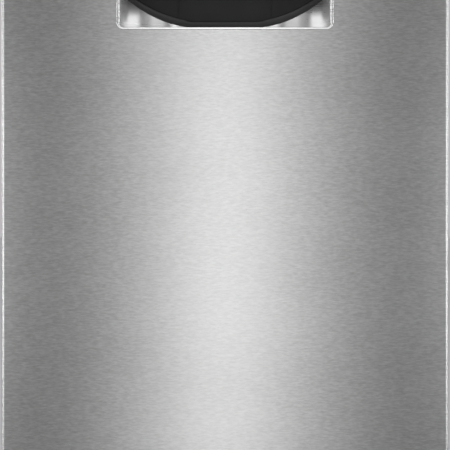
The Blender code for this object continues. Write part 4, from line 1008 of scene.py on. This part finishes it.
def connections():
    """Fill valve and mains box, with their ends in the rear panel."""
    x, z = VALVE
    valve = Shape()
    valve.box((x - 0.016, 0.246, z - 0.014), (x + 0.018, 0.284, z + 0.014), bevel=0.0022)
    thread = [(0, 0.27), (0.0098, 0.27)]
    thread += ridges(0.286, 0.299, 0.0022, ((0.0096, 0), (0.0105, 0.0007), (0.0105, 0.001), (0.0096, 0.0017)))
    thread += [(0.0094, 0.301), (0.0088, REAR_END), (0.007, REAR_END), (0.007, 0.29), (0, 0.29)]
    valve.lathe(thread, "Y", VALVE, 40)
    valve.lathe([(0, z + 0.01), (0.0125, z + 0.012), (0.0125, z + 0.0165), (0.0112, z + 0.0172),
                 (0.0112, z + 0.0388), (0.0125, z + 0.0395), (0.0125, z + 0.045), (0.0115, z + 0.046),
                 (0.005, z + 0.046), (0.0045, z + 0.0448), (0, z + 0.0448)], "Z", (x + 0.001, 0.266), 40)
    for dx in (-0.005, 0.003):
        valve.box((x + dx, 0.249, z + 0.034), (x + dx + 0.0008, 0.2545, z + 0.04), 1, 0.0002)
    valve.piece("fill_valve", "cabinet", ["light", "screw"], "inlet_valve", "light_plastic", smooth=40)
    x, z = MAINS
    mains = Shape()
    mains.box((x - 0.04, 0.215, 0.0335), (x + 0.014, 0.285, 0.0835), bevel=0.002)
    mains.box((x - 0.0395, 0.2155, 0.0839), (x + 0.0135, 0.2845, 0.088), bevel=0.0014)
    mains.lathe([(0.004, 0.284), (0.0078, 0.284), (0.0078, 0.295), (0.0082, 0.2954), (0.0082, 0.3008),
                 (0.0076, REAR_END), (0.0052, REAR_END), (0.004, 0.3)], "Y", MAINS, 32)
    mains.ring("Y", MAINS, 0.0041, 0.0082, 0.2856, 0.292, 6)
    for v in (0.2205, 0.2795):
        for u in (x - 0.0345, x + 0.0085):
            screw(mains, "Z", (u, v), 0.0864, 1, 0.0026, 1)
    mains.piece("mains_box", "cabinet", ["black", "screw"], "junction_box", "black_plastic", smooth=40)


def supply_tube():
    """Flat moulded tube up the back of the tub and along its ceiling."""
    path = filleted([(0, 0.112, 0.1715), (0, 0.248, 0.1715), (0, 0.248, 0.81225), (0, -0.012, 0.81225)], 0.034, 12)
    rings = []
    for i, p in enumerate(path):
        step = (path[min(i + 1, len(path) - 1)] - path[max(i - 1, 0)]).normalized()
        out = Vector((0, -step.z, step.y))
        thin = 0.005 if p.z < 0.5 else 0.00425
        half = thin + (0.007 - thin) * abs(step.z)
        rings.append([p + Vector((u, 0, 0)) + out * v
                      for u, v in rounded((-0.016, -half), (0.016, half), half * 0.85, 5)])
    shape = Shape().loft(rings)
    for z in (0.26, 0.4, 0.66, 0.76):
        shape.prism(rounded((-0.0165, 0.2407), (0.0165, 0.2553), 0.004, 3), "Z", z, z + 0.01)
    shape.prism(rounded((-0.016, 0.5345), (0.016, 0.5445), 0.0035, 4), "Y", 0.224, 0.244, bevel=0.0008)
    shape.prism(rounded((-0.03, 0.108), (0.03, 0.13), 0.006, 4), "Z", 0.1656, 0.17, bevel=0.001)
    shape.lathe([(0, 0.7985), (0.0034, 0.7985), (0.004, 0.7991), (0.004, 0.809), (0, 0.809)], "Z", (0, 0), 24)
    shape.piece("supply_tube", "cabinet", "light", "feed_tube", "light_plastic", smooth=45)


LEAN = 0.012                       # how far a spray arm's blade is swept at its tip


def blade(reach, root, tip, low, high):
    """Rings of a two-bladed arm, crowned on top and rounded below."""
    half = []
    for t in np.linspace(0.06, 0.97, 16):
        width = (root + (tip - root) * t) / 2
        half.append(((reach - tip / 2) * t, LEAN * t * t, width))
    lower = [(x, lean - w) for x, lean, w in half]
    upper = [(x, lean + w) for x, lean, w in reversed(half)]
    end = arc((reach - tip / 2, LEAN), tip / 2, -78, 78, 14)
    outline = lower + end + upper
    outline = np.array(outline + [(-u, -v) for u, v in outline])
    step = np.roll(outline, -1, axis=0) - np.roll(outline, 1, axis=0)
    out = np.stack([step[:, 1], -step[:, 0]], axis=1) / np.linalg.norm(step, axis=1, keepdims=True)
    tall = high - low
    rings = []
    for inset, rise in ((0.005, 0.0), (0.0018, 0.06), (0.0, 0.22), (0.0, 0.55), (0.0012, 0.74), (0.0034, 0.9),
                        (0.0064, 1.0)):
        rings.append((outline - out * inset * min(1.0, tip / 0.018), low + tall * rise))
    return rings


def spray_arm(level, centre, reach, widths, blades, hub_ends, bore, seat, nozzles):
    """A two-bladed arm with its nozzles. Its hub turns on a pin that ends at seat, or on one that goes through it."""
    name, body = f"{level}_spray_arm", f"{level}_spray"
    (root, tip), (low, high), (hub_low, hub_high) = widths, blades, hub_ends
    rings = [[(u + centre[0], v + centre[1], z) for u, v in ring] for ring, z in blade(reach, root, tip, low, high)]
    room = Shape().disc("Z", centre, bore, min(hub_low - 0.002, seat), seat, 32)
    Shape().loft(rings).piece(f"{name}_blades", body, "light", name, "light_plastic", [room], smooth=50)
    hub = Shape()
    r = root * 0.62
    profile = [(bore, hub_low), (r - 0.001, hub_low), (r, hub_low + 0.001), (r, hub_high - 0.0022),
               (r - 0.0022, hub_high)]
    if seat > hub_high:
        profile += [(bore, hub_high)]
    else:
        profile += [(0.004, hub_high), (0, hub_high - 0.0004), (0, seat), (bore, seat)]
    hub.lathe(profile, "Z", centre)
    for rib in around(centre, r - 0.0008, 8):
        hub.rod("Z", rib, 0.0014, hub_low + 0.0012, hub_high - 0.0026, 12)
    holes = Shape()
    for i in range(nozzles):
        t = 0.22 + 0.72 * i / max(nozzles - 1, 1)
        x, y = (reach - tip / 2) * t, LEAN * t * t
        shift = 0.0035 * (-1) ** i
        for way in (1, -1):
            place = (centre[0] + way * x, centre[1] + way * (y + shift))
            holes.lathe([(0.0016, high - 0.0008), (0.0036, high - 0.0008), (0.0032, high + 0.0004),
                         (0.0022, high + 0.0006), (0.0016, high + 0.0001)], "Z", place, 20)
            # a near-black disc sunk in each nozzle ring: painted shade in the opening
            holes.disc("Z", place, 0.0017, high - 0.0006, high + 0.0001, 16, 1)
    hub.piece(f"{name}_hub", body, "light", slot="light_plastic", smooth=40)
    holes.piece(f"{name}_nozzles", body, ["light", "core"], slot="light_plastic", smooth=40)


def wash_system():
    sump_and_filters()
    pumps()
    connections()
    supply_tube()
    spray_arm("lower", HUB, 0.232, widths=(0.044, 0.03), blades=(0.185, 0.1955), hub_ends=(0.1805, 0.202),
              bore=0.0068, seat=0.199, nozzles=7)
    spray_arm("upper", (0, 0), 0.205, widths=(0.036, 0.024), blades=(0.518, 0.5264), hub_ends=(0.5165, 0.534),
              bore=0.0057, seat=0.54, nozzles=6)
    spray_arm("ceiling", (0, 0), 0.07, widths=(0.026, 0.018), blades=(0.7985, 0.8036), hub_ends=(0.797, 0.806),
              bore=0.0047, seat=0.81, nozzles=2)


# ------------------------------------------------------------------ racks
def bent_wire(shape, axis, at, low, high, floor, top, radius):
    """A U of wire: down one side of a rack, across its floor and up the other side."""
    path = [(low, top), (low, floor), (high, floor), (high, top)]
    place = (lambda w, z: (w, at, z)) if axis == "X" else (lambda w, z: (at, w, z))
    shape.tube(filleted([place(w, z) for w, z in path], 0.01, 5), radius)


def rack_grip(shape, z):
    """Bar to pull a rack by, in the middle of its front."""
    path = [(-0.07, z + 0.0095), (-0.062, z), (0.062, z), (0.07, z + 0.0095)]
    shape.tube(filleted([(x, -0.1865, z) for x, z in path], 0.008, 5), 0.0032, 10, slot=1)


def wire_box(shape, low, high, floor, top, mids, xs, ys, rim=0.0025, thin=0.0017):
    """Wirework inside low and high: bent wires both ways, rings round them and a thick rim."""
    for x in xs:
        bent_wire(shape, "Y", x, low[1] + rim, high[1] - rim, floor + thin, top - rim, thin)
    for y in ys:
        bent_wire(shape, "X", y, low[0] + rim, high[0] - rim, floor + 2.8 * thin, top - rim, thin)
    for z, inset, radius in [(z, rim + 1.6 * thin, thin) for z in mids] + [(top - rim, rim, rim)]:
        shape.tube([(u, v, z) for u, v in rounded(*inside(low, high, inset), 0.022, 7)], radius, closed=True)


def tines(shape, xs, y, low, high, radius=0.0018, bar=None):
    """A row of upright tines on a bar, which runs between two places or just past the outer tines."""
    for x in xs:
        shape.rod("Z", (x, y), radius, low, high, 12, edge=0.0012)
    start, end = bar or (min(xs) - 0.003, max(xs) + 0.003)
    shape.rod("X", (y, low + radius), radius * 1.1, start, end, 12, edge=0.0008)


TINE_XS = spaced(-0.126, 0.0509, 8)
WHEEL_YS = {"front": -0.06, "rear": 0.15}
WHEEL_Z = 0.1845


def lower_rack():
    shape = Shape()
    wire_box(shape, (-0.25, -0.19), (0.25, 0.225), floor=0.222, top=0.345, mids=(0.262, 0.3),
             xs=spaced(-0.224, 0.032, 15), ys=spaced(-0.16, 0.0355, 11))
    tines(shape, TINE_XS, -0.045, 0.224, 0.3112, bar=(-0.13, 0.234))
    middle = [(a + b) / 2 for a, b in zip(TINE_XS, TINE_XS[1:])]
    for y in (-0.108, -0.16):
        tines(shape, middle, y, 0.224, 0.286, 0.0016)
    for y in (0.13, 0.185):
        tines(shape, TINE_XS, y, 0.224, 0.3, 0.0016)
    for sign in SIDES.values():
        for y in WHEEL_YS.values():
            shape.prism(rounded((y - 0.008, 0.176), (y + 0.008, 0.2245), 0.004, 3), "X", sign * 0.2465,
                        sign * 0.2495, 1)
            shape.rod("X", (y, WHEEL_Z), 0.0035, sign * 0.248, sign * 0.262, 24, 1, 0.0008)
    rack_grip(shape, 0.333)
    shape.piece("lower_basket_wires", "lower_rack", ["wire", "grey"], "lower_rack", "rack_coating", smooth=60,
                weighted=False)
    for side, sign in SIDES.items():
        for row, y in WHEEL_YS.items():
            wheel(f"{row}_{side}", sign * 0.256, y)
    comb = Shape()
    for x in TINE_XS:
        comb.rod("Z", (x, 0.075), 0.0019, 0.23, 0.316, 12, edge=0.0012)
    comb.rod("X", (0.075, 0.23), 0.002, -0.1285, 0.2325, 16, edge=0.0008)
    for x in (-0.1, 0.052, 0.205):
        comb.box((x - 0.005, 0.0722, 0.228), (x + 0.005, 0.0778, 0.2345), 1, 0.001)
    comb.piece("folding_comb", "fold_tines", ["wire", "grey"], "fold_tines", "rack_coating", smooth=50,
               weighted=False)


def wheel(name, x, y):
    """Roller with a rounded tread, a rim and six spokes."""
    centre, half = (y, WHEEL_Z), 0.0045
    shape = Shape()
    shape.ring("X", centre, 0.0041, 0.0072, x - half * 0.9, x + half * 0.9, 40)
    shape.lathe([(0.015, x - half), (0.0172, x - half), (0.0186, x - half * 0.6), (0.019, x),
                 (0.0186, x + half * 0.6), (0.0172, x + half), (0.015, x + half)], "X", centre, 56)
    shape.ring("X", centre, 0.0068, 0.0156, x - 0.0012, x + 0.0012, 56)
    for k in range(6):
        turn = math.radians(60 * k)
        out, across = (math.cos(turn), math.sin(turn)), (-math.sin(turn), math.cos(turn))
        outline = [(centre[0] + a * out[0] + b * across[0], centre[1] + a * out[1] + b * across[1])
                   for a, b in ((0.0066, -0.0009), (0.0156, -0.0009), (0.0156, 0.0009), (0.0066, 0.0009))]
        shape.prism(outline, "X", x - half * 0.75, x + half * 0.75, bevel=0.0002)
    shape.piece(f"roller_{name}", f"rack_wheel_{name}", "grey", f"rack_wheel_{name}", "grey_plastic", smooth=40)


def cutlery_basket():
    low, high = (-0.24, -0.175), (-0.152, 0.06)
    floor, top = 0.2265, 0.35
    shape = Shape()
    outline = rounded(low, high, 0.006, 3)
    for z0, z1, deep in ((floor, floor + 0.01, 0.0026), (0.286, 0.293, 0.0022), (top - 0.01, top, 0.0028)):
        inner = rounded(*inside(low, high, deep), 0.0035, 3)
        rings = [[(*p, z) for p in line] for line, z in ((outline, z0), (outline, z1), (inner, z1), (inner, z0))]
        shape.loft(rings, closed=True)
    for count, along in ((23, 1), (8, 0)):
        for at in np.linspace(low[along] + 0.008, high[along] - 0.008, count):
            for wall in (low[1 - along] + 0.0013, high[1 - along] - 0.0013):
                ends = [(wall + way * 0.0009, at + way * 0.0021) for way in (-1, 1)]
                (a, b), (c, d) = ends if along else [end[::-1] for end in ends]
                shape.box((a, b, floor + 0.004), (c, d, top - 0.004), bevel=0)
    for y in np.linspace(low[1] + 0.006, high[1] - 0.006, 25):
        shape.box((low[0] + 0.002, y - 0.0014, floor), (high[0] - 0.002, y + 0.0014, floor + 0.0028), bevel=0)
    for x in np.linspace(low[0] + 0.008, high[0] - 0.008, 9):
        shape.box((x - 0.0012, low[1] + 0.002, floor), (x + 0.0012, high[1] - 0.002, floor + 0.0024), bevel=0)
    for y in (-0.1165, -0.0575, 0.0015):
        shape.box((low[0] + 0.002, y - 0.001, floor + 0.002), (high[0] - 0.002, y + 0.001, 0.318), bevel=0.0004)
    middle, reach = (low[1] + high[1]) / 2, (high[1] - low[1]) / 2 - 0.0035
    path = [(middle - reach, 0.348), (middle - reach, 0.357), (middle - 0.05, 0.4275), (middle + 0.05, 0.4275),
            (middle + reach, 0.357), (middle + reach, 0.348)]
    shape.tube(filleted([(-0.196, y, z) for y, z in path], 0.014, 6), 0.0025, 12)
    shape.tube([(-0.196, middle - 0.036, 0.4265), (-0.196, middle + 0.036, 0.4265)], 0.0034, 14)
    shape.piece("cutlery_basket_body", "cutlery_basket", "grey", "cutlery_basket", "rack_coating", smooth=45,
                weighted=False)


def runner(shape, sign, inner, outer, low, high):
    near, far = sorted((sign * inner, sign * outer))
    shape.prism(rounded((near, low), (far, high), 0.0016, 2), "Y", -0.185, 0.215, 1)


def upper_rack():
    shape = Shape()
    wire_box(shape, (-0.246, -0.19), (0.246, 0.222), floor=0.545, top=0.65, mids=(0.58, 0.615),
             xs=spaced(-0.224, 0.032, 15), ys=spaced(-0.156, 0.035, 11))
    for y in (-0.104, 0.071, 0.176):
        tines(shape, spaced(-0.112, 0.032, 8), y, 0.547, 0.608, 0.0016)
    for sign in SIDES.values():
        runner(shape, sign, 0.244, 0.264, 0.606, 0.618)
        for y in (-0.12, 0.12):
            shape.box((sign * 0.2425, y - 0.004, 0.648), (sign * 0.245, y + 0.004, 0.664), 1, 0.0005)
            shape.box((sign * 0.236, y - 0.003, 0.66), (sign * 0.2444, y + 0.003, 0.6645), 1, 0.0005)
    shape.prism(rounded((-0.012, 0.536), (0.012, 0.547), 0.003, 3), "Y", -0.012, 0.2235, 1, 0.0008)
    shape.lathe([(0, 0.515), (0.0044, 0.515), (0.005, 0.5156), (0.005, 0.54), (0, 0.54)], "Z", (0, 0), 32, 1)
    rack_grip(shape, 0.638)
    shape.piece("upper_basket_wires", "upper_rack", ["wire", "grey"], "upper_rack", "rack_coating", smooth=60,
                weighted=False)
    for side in SIDES:
        keep(f"cup_shelf_{side}", "grey", 0.0008)


def cutlery_tray():
    shape = Shape()
    xs = spaced(-0.23, 0.0115, 41)
    wire_box(shape, (-0.243, -0.19), (0.243, 0.222), floor=0.765, top=0.793, mids=(0.779,), xs=xs,
             ys=spaced(-0.15, 0.067, 6), rim=0.002, thin=0.0011)
    for sign in SIDES.values():
        runner(shape, sign, 0.241, 0.264, 0.7755, 0.7835)
    for y in (-0.095, 0.03, 0.13):
        outline = [(-0.236, 0.7675), (0.236, 0.7675)]
        for x in reversed(xs):
            outline += [(x + 0.0042, 0.7745), (x + 0.002, 0.786), (x - 0.002, 0.786), (x - 0.0042, 0.7745)]
        shape.prism(outline, "Y", y - 0.001, y + 0.001, 1, 0.0003)
    shape.piece("tray_wires", "cutlery_tray", ["wire", "grey"], "cutlery_tray", "rack_coating", smooth=60,
                weighted=False)


# ------------------------------------------------------------------ door: inside and edges
def inner_door():
    pads = [((-0.236, 0.192), (0.236, 0.425), -0.0025, 0.008), ((-0.236, 0.645), (0.236, 0.798), -0.0025, 0.008)]
    us = lines(-0.2925, 0.2925, 0.04, *ramps(pads, 0))
    vs = lines(0.153, 0.8225, 0.04, *ramps(pads, 1))
    height = pressed(pads)
    fold, face = 0.003, -0.25
    rings = quarter(fold, face) + [(fold, -0.2745)]
    opening = Shape().box((-0.0585, -0.26, 0.5065), (0.0885, -0.24, 0.6135), bevel=0)
    pan(us, vs, [0.0029] * 4, lambda u, v: face + float(height(u, v)), rings, 1).piece(
        "inner_skin", "door", "liner", "door_inner_liner", "tub_steel", [opening], smooth=40, solid=0.001)
    shape = Shape()
    for sign in SIDES.values():
        for z in (0.215, 0.27):
            screw(shape, "Y", (sign * 0.2745, z), face, 1, 0.0034)
        for z in (0.46, 0.64, 0.8):
            screw(shape, "Y", (sign * 0.2875, z), face, 1, 0.003)
    shape.piece("inner_door_screws", "door", "screw", slot="galvanised", smooth=40)
    for side in SIDES:
        keep(f"hinge_arm_{side}", "zinc", 0.0004)
    keep("latch_strike", "zinc", 0.0004)
    lip = [(-0.2497, 0.151), (-0.2484, 0.151), (-0.2456, 0.1528), (-0.2441, 0.1545), (-0.2443, 0.1556),
           (-0.2464, 0.1548), (-0.247, 0.156), (-0.2446, 0.1582), (-0.2448, 0.1594), (-0.2475, 0.16),
           (-0.2497, 0.16)]
    Shape().prism(lip, "X", -0.246, 0.246, bevel=0.0002).piece("door_lip_seal", "door", "rubber", "bottom_seal",
                                                               "seal_rubber", smooth=50)


def dispenser():
    room = Shape().prism(rounded((-0.045, 0.52), (0.01, 0.6), 0.004, 4), "Y", -0.27, -0.24, bevel=0)
    plate = Shape().prism(rounded((-0.065, 0.45), (0.095, 0.62), 0.01, 6), "Y", -0.2497, -0.244, bevel=0.001)
    plate.piece("dispenser_plate", "door", "grey", "dispenser_body", "grey_plastic", [room])
    tank = Shape().box((-0.058, -0.272, 0.507), (0.088, -0.2494, 0.613), bevel=0.002)
    tank.piece("dispenser_tank", "door", "grey", slot="grey_plastic", cutters=[room])
    trim = Shape()
    seat = -0.2442                 # just inside the plate's face
    for x in (-0.0545, 0.0175):
        trim.box((x, seat, 0.456), (x + 0.0025, -0.2424, 0.606))
    trim.prism(rounded((0.034, 0.462), (0.083, 0.476), 0.003, 3), "Y", seat, -0.2428)
    trim.prism(rounded((0.038, 0.503), (0.078, 0.522), 0.004, 4), "Y", seat, -0.242, bevel=0.0008)
    trim.rod("Y", (0.058, 0.596), 0.0046, seat, -0.2428, 24, 1)
    trim.piece("dispenser_trim", "door", ["light", "core"], slot="grey_plastic")
    lid = Shape().prism(rounded((-0.0475, 0.5175), (0.0125, 0.6025), 0.005, 5), "Y", -0.2436, -0.2408, bevel=0.0009)
    for z in (0.585, 0.589, 0.593):
        lid.box((-0.033, -0.2412, z), (-0.002, -0.24, z + 0.0016), bevel=0.0004)
    lid.piece("detergent_door", "detergent_lid", "light", "detergent_lid", "light_plastic")
    centre = (0.058, 0.56)
    cap = Shape().lathe([(0, -0.2436), (0.0196, -0.2436), (0.02, -0.2432), (0.02, -0.2408), (0.0192, -0.2396),
                         (0.0175, -0.2391), (0.012, -0.2391), (0.0112, -0.2399), (0, -0.2399)], "Y", centre, 64)
    cap.prism(rounded((0.0435, 0.5575), (0.0725, 0.5625), 0.0018, 4), "Y", -0.2404, -0.2352, bevel=0.001)
    for rib in around(centre, 0.0196, 24):
        cap.rod("Y", rib, 0.0007, -0.2432, -0.2405, 8, edge=0.0002)
    cap.piece("rinse_aid_knob", "rinse_aid_cap", "dark", "rinse_aid_cap", "grey_plastic", smooth=40)


def control_strip():
    """Dark window and small lights in the top edge, beside the buttons."""
    keep("control_fascia", "black", 0.001)
    for name in ("power_button", "program_button", "start_button"):
        keep(name, "grey", 0.0009)
    top = 0.8505
    shape = Shape()
    shape.prism(rounded((-0.06, -0.2785), (0.06, -0.2625), 0.002, 4), "Z", top - 0.0004, top + 0.0006, 0, 0.0003)
    for x in (-0.178, 0.094, 0.108, 0.122):
        shape.rod("Z", (x, -0.2705), 0.0016, top - 0.0005, top + 0.0005, 20, 1, 0.0003)
    shape.piece("control_window", "door", ["display", "light"], slot="black_plastic")


# ------------------------------------------------------------------ stage, lights, camera
def stage():
    """An even floor that catches no shadow and isn't mirrored."""
    size = 40.0
    corners = [(-size, -size, 0), (size, -size, 0), (size, size, 0), (-size, size, 0)]
    floor = Shape().add(corners, [(0, 1, 2, 3)]).new_object("studio_floor")
    floor.data.materials.append(uneven("studio_floor", ((2, 4.0), grey(0.79), grey(0.81)), ((5, 3.0), 0.55, 0.65)))
    for ray in ("visible_glossy", "visible_diffuse", "visible_shadow"):
        setattr(floor, ray, False)     # the tall lights reach below the floor, so that the door's foot isn't dark
    spared = bpy.data.collections.new("floor_left_dark")
    spared.objects.link(floor)
    spared.collection_objects[0].light_linking.link_state = "EXCLUDE"


def light(name, size, place, towards, power, floor=False):
    """A rectangular lamp. floor lets it light the floor too."""
    lamp = bpy.data.lights.new(name, "AREA")
    lamp.shape = "RECTANGLE"
    lamp.size, lamp.size_y = size
    lamp.energy = power
    obj = bpy.data.objects.new(name, lamp)
    obj.location = place
    obj.rotation_mode = "QUATERNION"
    obj.rotation_quaternion = (Vector(towards) - Vector(place)).to_track_quat("-Z", "Y")
    obj.visible_camera = False
    bpy.context.scene.collection.objects.link(obj)
    if not floor:
        obj.light_linking.receiver_collection = bpy.data.collections["floor_left_dark"]


def world(backdrop, soft, band, sky, rear):
    """The camera sees an even grey, and matt surfaces get soft even light. Metal mirrors a band of light at the
    horizon, and a dim room behind the machine."""
    made = bpy.data.worlds.new("studio")
    made.use_nodes = True
    nodes = Nodes(made.node_tree)

    def faded(source, start, end, low, high):
        return nodes.remap(source, low, high, start, end, interpolation_type="SMOOTHSTEP")

    way = nodes.node("ShaderNodeSeparateXYZ")
    nodes.link(nodes.node("ShaderNodeTexCoord").outputs["Generated"], way.inputs[0])
    height = nodes.math("ABSOLUTE", way.outputs["Z"])
    level = nodes.math("ADD", faded(height, 0.0, 0.25, band, 0.0), faded(height, 0.3, 0.62, 0.0, sky))
    seen = nodes.math("ADD", level, faded(way.outputs["Y"], 0.05, 0.45, 0.0, rear))
    for ray, value in (("Is Diffuse Ray", soft), ("Is Camera Ray", backdrop)):
        mix = nodes.node("ShaderNodeMix", {3: value}, data_type="FLOAT")
        nodes.link(nodes.node("ShaderNodeLightPath").outputs[ray], mix.inputs[0])
        nodes.link(seen, mix.inputs[2])
        seen = mix.outputs[0]
    nodes.link(seen, nodes.tree.nodes["Background"].inputs["Color"])
    bpy.context.scene.world = made


LENS = 85.0
SENSOR = 36.0
CROP_WIDTH = 0.601                 # width of the view at the door's face
CROP_CENTRE = 0.4952               # its middle's height


def camera():
    lens = bpy.data.cameras.new("camera")
    lens.lens = LENS
    lens.sensor_width = SENSOR
    obj = bpy.data.objects.new("camera", lens)
    obj.location = (0, DOOR_FACE - CROP_WIDTH * LENS / SENSOR, CROP_CENTRE)
    obj.rotation_euler = (math.radians(90), 0, 0)
    bpy.context.scene.collection.objects.link(obj)
    bpy.context.scene.camera = obj


door_front()
handle_trim()
grip()
inner_door()
dispenser()
control_strip()
tub_shell()
gasket()
side_panels()
rear_sheet()
casing()
wash_system()
lower_rack()
cutlery_basket()
upper_rack()
cutlery_tray()

stage()
world(backdrop=0.49, soft=0.55, band=0.15, sky=0.08, rear=0.3)
light("strip", (0.22, 2.2), (0, -2.0, 0.495), (0, 0, 0.495), 2.7)
light("wide_strip", (0.77, 2.25), (0, -2.06, 0.495), (0, 0, 0.495), 3.8)
for side, sign in SIDES.items():
    light(f"side_{side}", (0.5, 0.9), (sign * 1.0, -1.8, 0.495), (0, -0.3, 0.495), 5.0)
for side, sign in SIDES.items():
    light(f"edge_{side}", (0.35, 1.5), (sign * 2.2, -1.25, 0.55), (sign * 0.3, -0.3, 0.55), 21.0)
light("above", (2.2, 1.4), (0, 0.6, 2.4), (0, 0.1, 0.4), 20)
for side, sign in SIDES.items():
    light(f"behind_{side}", (0.7, 1.4), (sign * 1.9, 1.3, 1.3), (0, 0.1, 0.45), 14)
light("overhead", (2.2, 2.2), (0.4, 0.8, 3.0), (0, 0, 0.3), 8, floor=True)
camera()
bpy.context.scene.view_settings.view_transform = "Standard"
